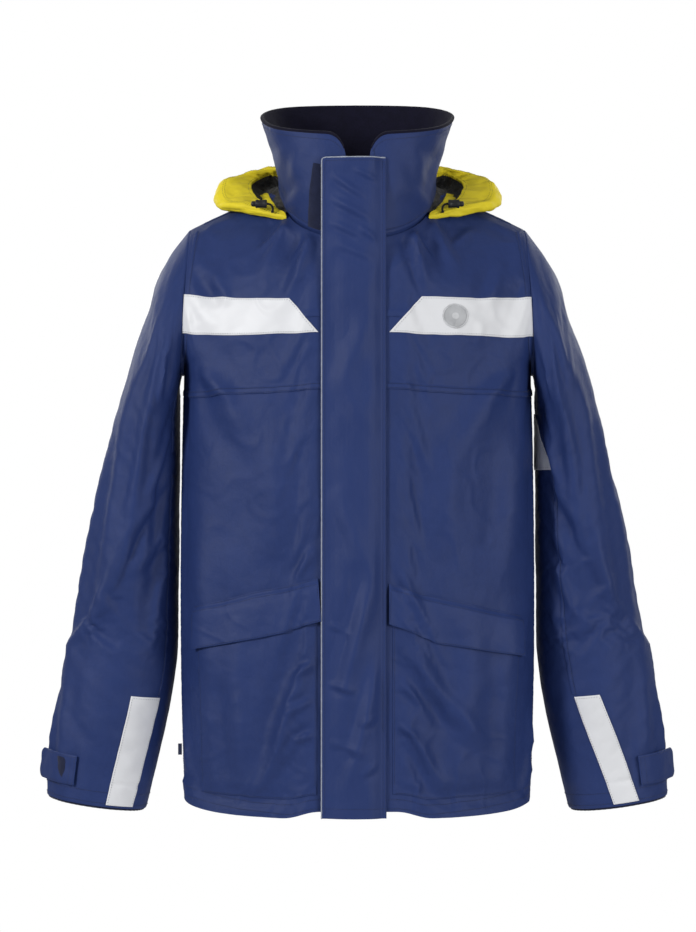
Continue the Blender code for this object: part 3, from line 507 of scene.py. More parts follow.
def solid(name, outer, inner, look, ring=False, turned=False):
    """A closed piece between two grids of points, with places measured along the outer one."""
    outer, inner = np.asarray(outer, float), np.asarray(inner, float)
    rows, columns = outer.shape[:2]
    many = rows * columns
    closed = np.concatenate([outer, outer[:, :1]], 1) if ring else outer
    across = np.linalg.norm(np.diff(closed, axis=1), axis=2).cumsum(1)
    across = np.concatenate([np.zeros((rows, 1)), across], 1)
    across = across - across.mean(1, keepdims=True)
    up = np.concatenate([np.zeros((1, columns)), np.linalg.norm(np.diff(outer, axis=0), axis=2).cumsum(0)], 0)
    up = np.concatenate([up, up[:, :1]], 1) if ring else up
    place = np.stack([across, up], 2)
    front, at = grid_faces(rows, columns, ring)
    back, under = grid_faces(rows, columns, ring, many, True)
    faces, places = [front, back], [place[at[..., 0], at[..., 1]], place[under[..., 0], under[..., 1]]]
    index = np.arange(many).reshape(rows, columns)
    edges = []
    wide = columns if ring else columns - 1
    j = np.arange(wide)
    k = (j + 1) % columns
    edges.append((index[0, k], index[0, j], (0 * j, j + 1), (0 * j, j)))
    edges.append((index[-1, j], index[-1, k], (0 * j + rows - 1, j), (0 * j + rows - 1, j + 1)))
    if not ring:
        i = np.arange(rows - 1)
        edges.append((index[i, 0], index[i + 1, 0], (i, 0 * i), (i + 1, 0 * i)))
        edges.append((index[i + 1, -1], index[i, -1], (i + 1, 0 * i + columns - 1), (i, 0 * i + columns - 1)))
    for a, b, at_a, at_b in edges:
        faces.append(np.stack([a, b, b + many, a + many], 1))
        pa, pb = place[at_a], place[at_b]
        places.append(np.stack([pa, pb, pb, pa], 1))
    points = np.concatenate([outer.reshape(-1, 3), inner.reshape(-1, 3)])
    faces, places = np.concatenate(faces), np.concatenate(places)
    a, b, c, d = (points[faces[:, n]] for n in range(4))
    if np.sum(a * np.cross(b, c) + a * np.cross(c, d)) < 0:
        faces, places = faces[:, ::-1], places[:, ::-1]
    return piece(name, points, faces, look, places)


def rimmed(count, length=0.3, rim=0.8 * MM):
    """Shares from 0 to 1 with one more close to each end, where an edge rounds off."""
    return np.concatenate([[0.0, rim / length], np.linspace(0, 1, count)[1:-1], [1 - rim / length, 1.0]])


def rounded(u, low, high, ring=False):
    """Both offsets drawn together along the free edges of the grid."""
    low, high = np.broadcast_to(low, u.shape), np.broadcast_to(high, u.shape)
    middle = (low + high) / 2
    edge = np.zeros(u.shape, bool)
    edge[[0, -1]] = True
    if not ring:
        edge[:, [0, -1]] = True
    return (np.where(edge, middle - (middle - low) * 0.35, low),
            np.where(edge, middle + (high - middle) * 0.35, high))


def layer(name, cloth, u, v, low, high, look, side=1, ring=False, edges=True):
    """A layer of cloth between two offsets from a surface, mirrored onto the side."""
    if edges:
        low, high = rounded(u, low, high, ring)
    turn = (side, 1, 1)
    return solid(name, cloth.at(u, v, high) * turn, cloth.at(u, v, low) * turn, look, ring)


def joined(item, body, nodes=()):
    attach(item, body)
    if nodes:
        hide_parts(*nodes)


def bent(item, slot, first, second, start, end, nodes=()):
    """A piece with its points baked where they stand, and the frame's parts that it stands for hidden."""
    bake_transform(item)
    if nodes:
        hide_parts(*nodes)


def front_place(side, x, z):
    """(u, v) on the front, from distances from the middle, HALF_WIDTH being the side, and heights."""
    x, z = (np.array(a, float) for a in np.broadcast_arrays(x, z))
    surface, share, h = FRONT.surface, x / HALF_WIDTH, 1e-4
    u, v = share.copy(), np.clip(z / 0.80, 0, 1)
    for _ in range(14):
        here = surface.point(u, v)
        du, dv = (surface.point(u + h, v) - here) / h, (surface.point(u, v + h) - here) / h
        wide = surface.point(np.ones_like(v), v)[..., 0]
        miss_x = x * (1 + (wide / HALF_WIDTH - 1) * share**2) - here[..., 0]
        miss_z = z - here[..., 2]
        scale = du[..., 0] * dv[..., 2] - dv[..., 0] * du[..., 2]
        scale = np.where(np.abs(scale) < 1e-3, 1e-3, scale)
        u = np.clip(u + np.clip((miss_x * dv[..., 2] - miss_z * dv[..., 0]) / scale, -0.15, 0.15), 0, 1)
        v = np.clip(v + np.clip((miss_z * du[..., 0] - miss_x * du[..., 2]) / scale, -0.15, 0.15),
                    0, 1 - SEAM)
    return u * side, v


def front_grid(side, bottom, top, columns, rows):
    a, b = np.meshgrid(np.asarray(columns, float), np.asarray(rows, float))
    edge = []
    for line in (np.array(bottom, float), np.array(top, float)):
        span = np.linspace(0, 1, len(line))
        edge.append((np.interp(a, span, line[:, 0]), np.interp(a, span, line[:, 1])))
    return front_place(side, *(edge[0][k] + (edge[1][k] - edge[0][k]) * b for k in (0, 1)))


def tube(name, path, radius, look, sides=10, rib=None):
    """A round cord along points; rib is its number of strands and their twist per metre."""
    path = np.array(path, float)
    way = np.gradient(path, axis=0)
    way /= np.linalg.norm(way, axis=1, keepdims=True)
    run = np.concatenate([[0], np.linalg.norm(np.diff(path, axis=0), axis=1).cumsum()])
    side = np.cross(way[0], (0.0, 0.0, 1.0) if abs(way[0][2]) < 0.9 else (0.0, 1.0, 0.0))
    sides_at = []
    for w in way:
        side = side - w * np.dot(side, w)
        side /= np.linalg.norm(side)
        sides_at.append(side.copy())
    first = np.array(sides_at)
    second = np.cross(way, first)
    radius = np.broadcast_to(radius, len(path)).copy()
    points, shares = [], []
    ends = [(0, -0.55, 0.45), (0, -0.2, 0.85)] + [(k, 0.0, 1.0) for k in range(len(path))] + [
        (len(path) - 1, 0.2, 0.85), (len(path) - 1, 0.55, 0.45)]
    for k, ahead, fat in ends:
        angle = np.arange(sides) * 2 * math.pi / sides
        reach = radius[k] * fat
        if rib:
            reach = reach * (1 + 0.10 * np.cos(rib[0] * angle + rib[1] * run[k]))
        ring = path[k] + way[k] * radius[k] * ahead
        points.append(ring + (first[k] * np.cos(angle)[:, None] + second[k] * np.sin(angle)[:, None])
                      * np.broadcast_to(reach, sides)[:, None])
        shares.append(run[k])
    points = np.array(points)
    faces, at = grid_faces(len(points), sides, True)
    place = np.stack([np.broadcast_to(np.arange(sides + 1) * 2 * math.pi * radius.mean() / sides,
                                      (len(points), sides + 1)),
                      np.broadcast_to(np.array(shares)[:, None], (len(points), sides + 1))], 2)
    places = place[at[..., 0], at[..., 1]]
    caps = [tuple(range(sides))[::-1], tuple((len(points) - 1) * sides + k for k in range(sides))]
    flat = [tuple(p) for face in places for p in face] + [(0.0, 0.0)] * (2 * sides)
    return piece(name, points.reshape(-1, 3), [tuple(f) for f in faces] + caps, look, flat, 60)


def stitches(name, runs, look, pitch=3.2 * MM, length=2.3 * MM, fat=0.38 * MM):
    """Rows of small raised stitches along runs, each the run's points and the ways out of the cloth."""
    points, faces = [], []
    shape = np.array([(-1, 0, -0.3), (-0.3, 1, 0.2), (-0.3, 0, 1), (-0.3, -1, 0.2), (0.3, 1, 0.2),
                      (0.3, 0, 1), (0.3, -1, 0.2), (1, 0, -0.3)])
    own = [(0, 1, 2), (0, 2, 3), (0, 3, 1), (7, 5, 4), (7, 6, 5), (7, 4, 6),
           (1, 4, 5, 2), (2, 5, 6, 3), (3, 6, 4, 1)]
    for path, out in runs:
        run = np.concatenate([[0], np.linalg.norm(np.diff(path, axis=0), axis=1).cumsum()])
        places = np.arange(pitch / 2, run[-1], pitch)
        if not len(places):
            continue
        at = np.stack([np.interp(places, run, path[:, k]) for k in range(3)], 1)
        up = np.stack([np.interp(places, run, out[:, k]) for k in range(3)], 1)
        ahead = np.stack([np.interp(places + 1e-4, run, path[:, k])
                          - np.interp(places - 1e-4, run, path[:, k]) for k in range(3)], 1)
        up /= np.linalg.norm(up, axis=1, keepdims=True)
        ahead /= np.linalg.norm(ahead, axis=1, keepdims=True)
        beside = np.cross(up, ahead)
        for p, a, b, o in zip(at, ahead, beside, up):
            start = len(points)
            points.extend(p + a * s[0] * length / 2 + b * s[1] * fat + o * s[2] * fat for s in shape)
            faces.extend(tuple(start + n for n in face) for face in own)
    return piece(name, points, faces, look, None, 80)


def run_on(cloth, u, v, out, side=1):
    """A run for stitches on a cloth: its points and the way out."""
    turn = np.array((side, 1, 1))
    low, high = cloth.at(u, v, out) * turn, cloth.at(u, v, out + 1e-3) * turn
    return low, high - low
# ---------------------------------------------------------------- materials

def tone(colour, by):
    return tuple(c * by for c in colour)


class Look:
    """A material with its constants on the shader, and the nodes that give it texture."""

    def __init__(self, name, colour, roughness, metallic=0.0, sheen=0.0, specular=0.5):
        self.made = bpy.data.materials.new(name)
        self.made.use_nodes = True
        self.made.diffuse_color = (*colour, 1)
        self.tree, self.colour, self.roughness = self.made.node_tree, colour, roughness
        self.shader = self.tree.nodes["Principled BSDF"]
        for socket, value in (("Base Color", (*colour, 1)), ("Roughness", roughness), ("Metallic", metallic),
                              ("Specular IOR Level", specular), ("Sheen Weight", sheen),
                              ("Sheen Roughness", 0.45)):
            self.shader.inputs[socket].default_value = value
        self.place = self.node("UVMap", "UV", {}, uv_map="cloth")

    def node(self, kind, output, inputs, **settings):
        """A new node's output, with each input set to a value or linked to another node's output."""
        made = self.tree.nodes.new("ShaderNode" + kind)
        for key, value in settings.items():
            setattr(made, key, value)
        for key, value in inputs.items():
            if isinstance(value, bpy.types.NodeSocket):
                self.tree.links.new(value, made.inputs[key])
            else:
                made.inputs[key].default_value = value
        return made.outputs[output]

    def scaled(self, x, y, turn=0.0):
        return self.node("Mapping", "Vector", {"Vector": self.place, "Scale": (x, y, 1),
                                               "Rotation": (0, 0, math.radians(turn))})

    def noise(self, x, y, detail=3.0, roughness=0.5):
        return self.node("TexNoise", "Fac", {"Vector": self.scaled(x, y), "Scale": 1.0, "Detail": detail,
                                             "Roughness": roughness})

    def waves(self, pitch, turn=0.0, wobble=0.0):
        """Ridges at this pitch in metres, running the way given by the turn."""
        per = 0.314159 / pitch
        return self.node("TexWave", "Fac", {"Vector": self.scaled(per, per, turn), "Scale": 1.0,
                                            "Distortion": wobble, "Detail": 1.0}, bands_direction="X")

    def crossed(self, pitch, turn, other, wobble=0.0):
        ways = {0: self.waves(pitch, turn, wobble), 1: self.waves(pitch, other, wobble)}
        return self.node("Math", "Value", ways, operation="MULTIPLY")

    def summed(self, *parts):
        """The sum of values, each times its weight."""
        total = 0.0
        for value, weight in parts:
            part = self.node("Math", "Value", {0: value, 1: weight}, operation="MULTIPLY")
            total = self.node("Math", "Value", {0: total, 1: part}, operation="ADD")
        return total

    def spread(self, value, low, high):
        return self.node("MapRange", "Result",
                         {"Value": value, "From Min": 0.3, "From Max": 0.7, "To Min": low,
                                                "To Max": high})

    def tint(self, value, dark, light):
        """The base colour runs between two tones of the colour as the value does."""
        ends = {"A": (*tone(self.colour, dark), 1), "B": (*tone(self.colour, light), 1)}
        share = {"Factor": self.spread(value, 0.0, 1.0)}
        self.tree.links.new(self.node("Mix", "Result", ends | share, data_type="RGBA"),
                            self.shader.inputs["Base Color"])

    def rub(self, value, less, more):
        """The roughness runs from this much less to this much more as the value does."""
        found = self.spread(value, self.roughness - less, self.roughness + more)
        self.tree.links.new(found, self.shader.inputs["Roughness"])

    def bump(self, *layers):
        """Bumps in turn, each a height, its distance in metres and its strength."""
        before = {}
        for height, distance, strength in layers:
            inputs = {"Distance": distance, "Strength": strength, "Height": height} | before
            before = {"Normal": self.node("Bump", "Normal", inputs)}
        self.tree.links.new(before["Normal"], self.shader.inputs["Normal"])


def woven(name, colour, roughness, pitch, bump=0.35, sheen=0.0, specular=0.4, vary=0.10,
          crinkle=0.0, wear=0.0):
    """A plain weave at this thread pitch, with slubs, soft colour changes, crinkles and rubbed places."""
    look = Look(name, colour, roughness, sheen=sheen, specular=specular)
    slub = look.noise(1 / (7 * pitch), 1 / (1.2 * pitch), 2.0)
    thread = look.summed((look.crossed(pitch, 0, 90, 0.5), 1.0), (slub, 0.9))
    cloud = look.noise(9, 9, 4.0)
    parts = [(cloud, 0.62), (slub, 0.23), (look.noise(260, 30, 2.0), 0.15)]
    if wear:
        parts.append((look.spread(look.noise(60, 60, 6.0, 0.7), -wear, wear), 1.0))
    look.tint(look.summed(*parts), 1 - vary, 1 + vary)
    look.rub(cloud, 0.05, 0.07)
    fine = [(look.noise(140, 110, 5.0, 0.62), 0.0012, crinkle)] if crinkle else []
    look.bump(*fine, (thread, 0.00025, bump))
    return look.made


def taped(name, colour, roughness):
    """Reflective tape: a fine bead grain on a smooth face, with faint creases and soiling."""
    look = Look(name, colour, roughness, specular=0.55)
    beads = look.node("TexVoronoi", "Distance", {"Vector": look.scaled(1500, 1500), "Scale": 1.0})
    cloud = look.noise(14, 14, 5.0, 0.6)
    look.tint(cloud, 0.955, 1.02)
    look.rub(cloud, 0.05, 0.08)
    look.bump((look.noise(45, 20, 5.0, 0.6), 0.0010, 0.22), (look.waves(0.0016, 45, 0.2), 0.00012, 0.10),
              (beads, 0.0001, 0.18))
    return look.made


def napped(name, colour, roughness, size=0.0022, sheen=0.5, depth=0.0012):
    """Brushed fleece, or a hook or loop strip, as a close pile of short fibres."""
    look = Look(name, colour, roughness, sheen=sheen, specular=0.2)
    pile = look.summed((look.noise(1 / size, 1 / size, 6.0, 0.7), 0.6),
                       (look.noise(0.2 / size, 0.2 / size), 0.4))
    look.tint(pile, 0.7, 1.5)
    look.bump((pile, depth, 0.7))
    return look.made


def netted(name, colour, pitch):
    """An open knit mesh, read as a grid of holes painted dark, as painted shade in the openings, between
    rounded strands.
    """
    look = Look(name, colour, 0.7, sheen=0.2, specular=0.35)
    holes = look.crossed(pitch, 45, -45)
    # the holes are painted dark as shade in the openings, and the strands carry the mesh's own colour
    look.tint(holes, 0.25, 2.2)
    look.bump((holes, 0.0012, 0.8))
    return look.made


def moulded(name, colour, roughness, metallic=0.0, brush=0.0):
    """Moulded nylon or satin metal, with a fine grain and smudges."""
    look = Look(name, colour, roughness, metallic)
    spot = look.node("TexCoord", "Object", {})
    grain, smudge = (look.node("TexNoise", "Fac", {"Vector": spot, "Scale": size, "Detail": 4})
                     for size in (900, 70))
    look.tint(smudge, 0.85, 1.15)
    look.rub(smudge, 0.07, 0.10)
    look.bump((grain, 0.0002, 0.15 + brush))
    return look.made


def braided(name, colour, pitch, roughness=0.7):
    """Strands laid over each other both ways, for cord, thread, webbing and piping."""
    look = Look(name, colour, roughness, sheen=0.25, specular=0.3)
    both = look.crossed(pitch, 52, -52)
    look.tint(look.summed((both, 0.5), (look.noise(120, 120), 0.5)), 0.7, 1.35)
    look.bump((both, 0.0004, 0.6))
    return look.made


NAVY = (0.0215, 0.0410, 0.1480)
SHELL = woven("shell_cloth", NAVY, 0.50, 0.00075, 0.30, specular=0.19, vary=0.10, crinkle=0.42, wear=0.10)
FLAP_CLOTH = woven("flap_cloth", tone(NAVY, 1.03), 0.48, 0.00075, 0.30, specular=0.19, vary=0.08,
                   crinkle=0.36)
BAND = taped("reflective_tape", (0.79, 0.80, 0.83), 0.46)
YELLOW = woven("hood_cloth", (0.93, 0.76, 0.030), 0.55, 0.00080, 0.35, specular=0.25, vary=0.07, crinkle=0.35)
LINING = woven("lining_cloth", (0.016, 0.022, 0.055), 0.72, 0.00060, 0.30, sheen=0.08, vary=0.12,
               crinkle=0.12)
CUFF_KNIT = woven("cuff_knit", (0.012, 0.016, 0.042), 0.85, 0.00120, 0.70, sheen=0.15, vary=0.15)
FLEECE = napped("collar_fleece", (0.0056, 0.0052, 0.0165), 0.95, 0.0024, 0.08, 0.0016)
HOOKS = napped("hook_strip", (0.010, 0.013, 0.036), 0.80, 0.0011, 0.15, 0.0008)
LOOPS = napped("loop_strip", (0.012, 0.016, 0.044), 0.95, 0.0017, 0.35, 0.0012)
MESH = netted("hood_mesh", (0.0060, 0.0062, 0.0070), 0.0022)
TAPE = braided("webbing", (0.012, 0.016, 0.045), 0.0016, 0.8)
THREAD = braided("thread", (0.015, 0.027, 0.090), 0.0007, 0.6)
PALE_THREAD = braided("pale_thread", (0.52, 0.53, 0.56), 0.0007, 0.6)
YELLOW_THREAD = braided("yellow_thread", (0.42, 0.40, 0.020), 0.0007, 0.6)
PIPING = braided("piping_weave", (0.42, 0.46, 0.56), 0.0009, 0.5)
ZIP_TAPE = woven("zip_tape_weave", (0.014, 0.020, 0.055), 0.80, 0.00090, 0.60, vary=0.12)
TEETH = moulded("zip_teeth_nylon", (0.020, 0.027, 0.065), 0.38)
NYLON = moulded("nylon_black", (0.010, 0.010, 0.012), 0.42)
METAL = moulded("satin_metal", (0.50, 0.51, 0.53), 0.32, 1.0, 0.1)
CORD = braided("drawcord_braid", (0.008, 0.008, 0.009), 0.0010, 0.7)
BADGE = moulded("badge_print", (0.42, 0.43, 0.45), 0.38)
BADGE_EDGE = moulded("badge_rim", (0.55, 0.56, 0.58), 0.34)
LABEL = braided("label_weave", (0.030, 0.040, 0.100), 0.0007, 0.75)
# ---------------------------------------------------------------- cloth simulation

FRAMES = 34


def weighed(cloth, us, vs, free, slack, most):
    """Lets a slightly oversize copy of a cloth settle under its own weight, and keeps how each point moved.

    free is 0 where the cloth is sewn down and 1 where it hangs, slack is how much larger the copy is, and
    most is how far a point may move. Nothing of the simulation is left in the scene.
    """
    u, v = np.meshgrid(us, vs)
    wide = len(us) - 1 if cloth.ring else len(us)
    held = cloth.at(u, v)[:, :wide].reshape(-1, 3)
    faces, _ = grid_faces(len(vs), wide, cloth.ring)
    mesh = bpy.data.meshes.new("weighed")
    mesh.from_pydata((held - ORIGIN).tolist(), [], faces.tolist())
    item = bpy.data.objects.new("weighed", mesh)
    bpy.context.scene.collection.objects.link(item)
    pins = item.vertex_groups.new(name="pins")
    loose = np.broadcast_to(free(u, v), u.shape)[:, :wide].ravel()
    for index, share in enumerate(loose):
        pins.add([index], float(1 - share), "REPLACE")
    maker = item.modifiers.new("cloth", "CLOTH")
    how = maker.settings
    how.quality, how.mass, how.air_damping = 6, 0.12, 2.0
    how.tension_stiffness = how.compression_stiffness = 18.0
    how.shear_stiffness, how.bending_stiffness = 6.0, 0.35
    how.vertex_group_mass, how.pin_stiffness = "pins", 1.0
    how.shrink_min = -slack
    maker.collision_settings.use_collision = False
    maker.point_cache.frame_start, maker.point_cache.frame_end = 1, FRAMES
    for count in range(1, FRAMES + 1):
        bpy.context.scene.frame_set(count)
    found = item.evaluated_get(bpy.context.evaluated_depsgraph_get()).to_mesh()
    moved = np.empty(len(found.vertices) * 3, np.float32)
    found.vertices.foreach_get("co", moved)
    bpy.data.objects.remove(item, do_unlink=True)
    bpy.data.meshes.remove(mesh)
    bpy.context.scene.frame_set(1)
    shift = (moved.reshape(-1, 3).astype(float) + ORIGIN - held).reshape(len(vs), wide, 3)
    far = np.linalg.norm(shift, axis=2, keepdims=True)
    shift = shift * np.where(far > 1e-9, most * np.tanh(far / most) / np.maximum(far, 1e-9), 1.0)
    shift = np.nan_to_num(shift) * loose.reshape(len(vs), wide, 1)
    cloth.grid = us, vs, np.concatenate([shift, shift[:, :1]], 1) if cloth.ring else shift


def body_free(u, v, high=0.96):
    return step_up((v + 0.02) / 0.05) * step_up((high - v) / 0.05) * step_up((1 - np.abs(u)) / 0.10)


def front_free(u, v):
    return body_free(u, v, 0.97) * step_up((np.abs(FRONT.surface.point(u, v)[..., 0]) - 0.046) / 0.03)


def sleeve_free(angle, v):
    inner = 1 - 0.8 * np.exp(-((np.abs((np.degrees(angle) + 180) % 360 - 180) - 180) / 40) ** 2)
    return step_up((v - 0.02) / 0.06) * step_up((0.470 - v) / 0.06) * inner


weighed(FRONT, np.linspace(-1, 1, 121), np.linspace(0, 1 - SEAM, 101), front_free, 0.020, 6 * MM)
weighed(BACK, np.linspace(-1, 1, 111), np.linspace(0, 1 - SEAM, 101), body_free, 0.025, 9 * MM)
for sleeve in SLEEVES.values():
    weighed(sleeve, np.linspace(0, 2 * math.pi, 85), np.linspace(0, 0.630, 101), sleeve_free,
            0.025, 6 * MM)


# ---------------------------------------------------------------- the body

CHEST_SEAM, YOKE_SEAM = [(ZIP_HALF, 0.5424), (HALF_WIDTH, 0.5359)], [(ZIP_HALF, 0.6304), (HALF_WIDTH, 0.6284)]
HEM_LINE = [(ZIP_HALF, 0.0285), (0.08, 0.0300), (0.15, 0.0360), (HALF_WIDTH * 0.985, 0.0455)]
LAP = 5 * MM
SHELL_LOW, SHELL_HIGH = -1.2 * MM, 0.0
LAP_ROWS = np.linspace(0, 0.12, 9)


def raised(lines, amount):
    return [(x, z + amount) for x, z in lines]


def lapped(height):
    """How far a panel stands off where it lies over the one below, from the height above its lower edge."""
    return 1.25 * MM * (1 - step_up((height - 0.004) / 0.007))


def panel(name, side, bottom, top, columns, rows, lap):
    """A front panel; its lower edge lies over the panel below when it laps."""
    columns = rimmed(columns, 0.21)
    rows = np.unique(np.concatenate([rimmed(rows, 0.2), LAP_ROWS])) if lap else rimmed(rows, 0.5)
    u, v = front_grid(side, bottom, top, columns, rows)
    edge = np.interp(columns, (0, 1), (bottom[0][1], bottom[-1][1]))
    over = lapped(FRONT.surface.point(u, v)[..., 2] - edge) if lap else 0.0
    return layer(name, FRONT, u, v, SHELL_LOW + over, SHELL_HIGH + over, SHELL)


def front_run(side, low, high, columns, rows, out):
    """A run for stitches on the front, along one row or one column of the grid between two lines."""
    u, v = front_grid(side, low, high, columns, rows)
    return run_on(FRONT, u.ravel(), v.ravel(), out)


def seam_runs(side, line, offsets, out, count=160):
    along = np.linspace(0.004, 0.996, count)
    return [front_run(side, raised(line, offset), raised(line, offset), along, [0], out)
            for offset in offsets]


for side, tag in SIDES:
    hem = [(ZIP_HALF, 0.0), (HALF_WIDTH, 0.0)]
    joined(panel("skirt_" + tag, side, hem, raised(CHEST_SEAM, 0.003), 86, 120, False), "jacket",
           ["front_skirt_" + tag])
    joined(panel("chest_" + tag, side, raised(CHEST_SEAM, -LAP), raised(YOKE_SEAM, 0.003), 80, 36, True),
           "jacket", ["chest_panel_" + tag])
    # the yoke's columns fan out from the front edge to the armhole, up to the neck and the shoulder seam
    low_u, low_v = front_grid(side, raised(YOKE_SEAM, -LAP), raised(YOKE_SEAM, -LAP), rimmed(80, 0.21), [0])
    share = np.unique(np.concatenate([rimmed(64, 0.15), LAP_ROWS]))[:, None]
    v = low_v + (1 - SEAM - low_v) * share
    across = np.linspace(0, 1, 401)
    edge = np.array([np.interp(ZIP_HALF, FRONT.surface.point(across, a)[:, 0], across)
                     for a in v[:, 0]])[:, None]
    start = np.abs(low_u[0, 0])
    u = side * (edge + (1 - edge) * (np.abs(low_u) - start) / (1 - start))
    over = lapped(FRONT.surface.point(u, v)[..., 2] - (YOKE_SEAM[0][1] - LAP))
    joined(layer("yoke_cloth_" + tag, FRONT, u, v, SHELL_LOW + over, SHELL_HIGH + over, SHELL),
           "jacket", ["yoke_" + tag])
    runs = seam_runs(side, CHEST_SEAM, (-LAP + 1.6 * MM, -LAP + 7.0 * MM), 1.5 * MM)
    runs += seam_runs(side, HEM_LINE, (0.0, -0.0115), 0.35 * MM, 200)
    joined(stitches("front_stitches_" + tag, runs, THREAD), "jacket")
    inner = ZIP_HALF + 4 * MM
    u, v = front_grid(side, [(inner, 0.02), (HALF_WIDTH, 0.04)], [(inner, 0.9), (HALF_WIDTH, 0.9)],
                      rimmed(34, 0.2), rimmed(56, 0.7))
    u, v = np.clip(u, -0.965, 0.965), np.clip(v, 0.004, 0.972)
    v = v + 0.0004 * np.linspace(0, 1, len(v))[:, None]
    joined(layer("inner_front_" + tag, FRONT, u, v, -7.8 * MM, -6.9 * MM, LINING, edges=False),
           "jacket", ["lining_front_" + tag])

tall = np.concatenate([[0, 0.001], np.linspace(0.012, 0.985, 140), [1 - SEAM]])
u, v = np.meshgrid((2 * rimmed(130, 0.5) - 1) * 0.995, tall)
joined(layer("back_cloth", BACK, u, v, SHELL_LOW, SHELL_HIGH, SHELL), "jacket", ["back_panel"])
u, v = np.meshgrid(np.linspace(-0.93, 0.93, 60), np.linspace(0.006, 0.970, 70))
joined(layer("inner_back", BACK, u, v, -7.8 * MM, -6.9 * MM, LINING), "jacket", ["lining_back"])

RIBBON = np.array([(-1, -0.9), (-0.93, 0.45), (-0.75, 1), (0, 1.06), (0.75, 1), (0.93, 0.45), (1, -0.9)])


def ribbon(name, cloth, us, vs, way, half, high, side, ripple):
    """A narrow lapped seam along (us, vs), widened the given way; its half width and height are in mm."""
    us, vs = np.broadcast_arrays(us, vs)
    ahead = cloth.surface.point(us + way[0] * 1e-3, vs + way[1] * 1e-3)
    lengths = np.linalg.norm(ahead - cloth.surface.point(us, vs), axis=-1) / 1e-3
    reach = RIBBON[None, :, 0] * (half * MM / lengths)[:, None]
    u, v = us[:, None] + way[0] * reach, vs[:, None] + way[1] * reach
    run = np.arange(len(us))[:, None] * 0.3
    pucker = ripple * MM * NOISE[5].at(run * 0.001 * 9, run * 0 + half * MM, 0.0040)
    lift = high * MM * RIBBON[None, :, 1] + pucker
    return layer(name, cloth, u, v, np.minimum(lift - 0.25 * MM, 0.05 * MM), lift, SHELL, side, edges=False)


for side, tag in SIDES:
    # side seam, on the back's edge, and the seams round the armhole and over the shoulder
    v = np.linspace(0.004, 0.985, 300)
    joined(ribbon("side_seam_" + tag, BACK, 0.978, v[v < 0.63], (1, 0), 3.2, 0.7, side, 0.3),
           "jacket")
    v = np.linspace(0.668, 0.945, 160)
    for name, cloth in (("armhole_front_", FRONT), ("armhole_back_", BACK)):
        joined(ribbon(name + tag, cloth, 0.974, v, (1, 0), 2.6, 0.45, side, 0.25), "jacket")
    u = np.linspace(0.50, 0.955, 120)
    joined(ribbon("shoulder_seam_" + tag, FRONT, u, 0.984, (0, 1), 3.0, 0.8, side, 0.25), "jacket")
    v = np.linspace(0.668, 0.940, 240)
    runs = [run_on(FRONT, 0.961, v, 0.9 * MM, side), run_on(BACK, 0.961, v, 0.9 * MM, side),
            run_on(FRONT, np.linspace(0.50, 0.950, 200), 0.979, 1.0 * MM, side),
            run_on(BACK, 0.968, np.linspace(0.01, 0.62, 380), 0.8 * MM, side)]
    joined(stitches("seam_stitches_" + tag, runs, THREAD), "jacket")


# ---------------------------------------------------------------- bands and badge

BAND_TOP = 1.75 * MM


def band(name, side, low_line, high_line):
    u, v = front_grid(side, low_line, high_line, rimmed(60, 0.17), rimmed(16, 0.047))
    joined(layer(name + "_tape", FRONT, u, v, 0.15 * MM, BAND_TOP, BAND), "jacket", [name])
    along = np.linspace(0.02, 0.995, 140)
    runs = [front_run(side, low_line, high_line, along, [share], BAND_TOP) for share in (0.045, 0.955)]
    runs.append(front_run(side, low_line, high_line, [0.02], np.linspace(0.05, 0.95, 40), BAND_TOP))
    joined(stitches(name + "_stitches", runs, PALE_THREAD), "jacket")


band("chest_band_L", -1, [(0.0480, 0.6060), (0.130, 0.6070), (HALF_WIDTH, 0.6078)],
     [(0.0852, 0.6500), (0.150, 0.6530), (HALF_WIDTH, 0.6560)])
band("chest_band_R", 1, [(0.0385, 0.6060), (0.130, 0.6050), (HALF_WIDTH, 0.6040)],
     [(0.0800, 0.6520), (0.150, 0.6525), (HALF_WIDTH, 0.6527)])

BADGE_AT, BADGE_RADIUS = (0.1220, 0.6285), 16 * MM


def disc(name, radii, lifts, under, look, nodes=()):
    turn = np.linspace(0, 2 * math.pi, 64, endpoint=False)
    ring = np.array(radii)[:, None] * BADGE_RADIUS
    u, v = front_place(1, BADGE_AT[0] + ring * np.cos(turn), BADGE_AT[1] + ring * np.sin(turn) * 0.98)
    item = layer(name, FRONT, u, v, under * MM, np.array(lifts)[:, None] * MM + 0 * u, look,
                 ring=True, edges=False)
    joined(item, "jacket", nodes)


disc("badge_print", [0.02, 0.3, 0.6, 0.80, 0.845, 0.86], [2.15, 2.15, 2.15, 2.15, 2.1, 1.9], 1.7,
     BADGE, ["badge"])
disc("badge_ring", [0.88, 0.90, 0.94, 0.98, 1.0], [1.9, 2.4, 2.5, 2.35, 1.9], 1.7, BADGE_EDGE)
disc("badge_eye", [0.02, 0.20, 0.25, 0.27], [2.45, 2.45, 2.35, 2.1], 1.9, BADGE_EDGE)


# ---------------------------------------------------------------- pockets

POCKET_SIDE, POCKET_DROP = 0.198, 0.030
POCKET_WIDE, POCKET_TALL, FLAP_WIDE = 0.155, 0.22, 0.16
# how far a pocket flap stands off, from its free edge to its sewn one
FLAP_PLACES, FLAP_STANDS = (0, 0.70, 0.86, 0.93, 1.0), (5.6, 5.2, 4.0, 1.2, 0.35)


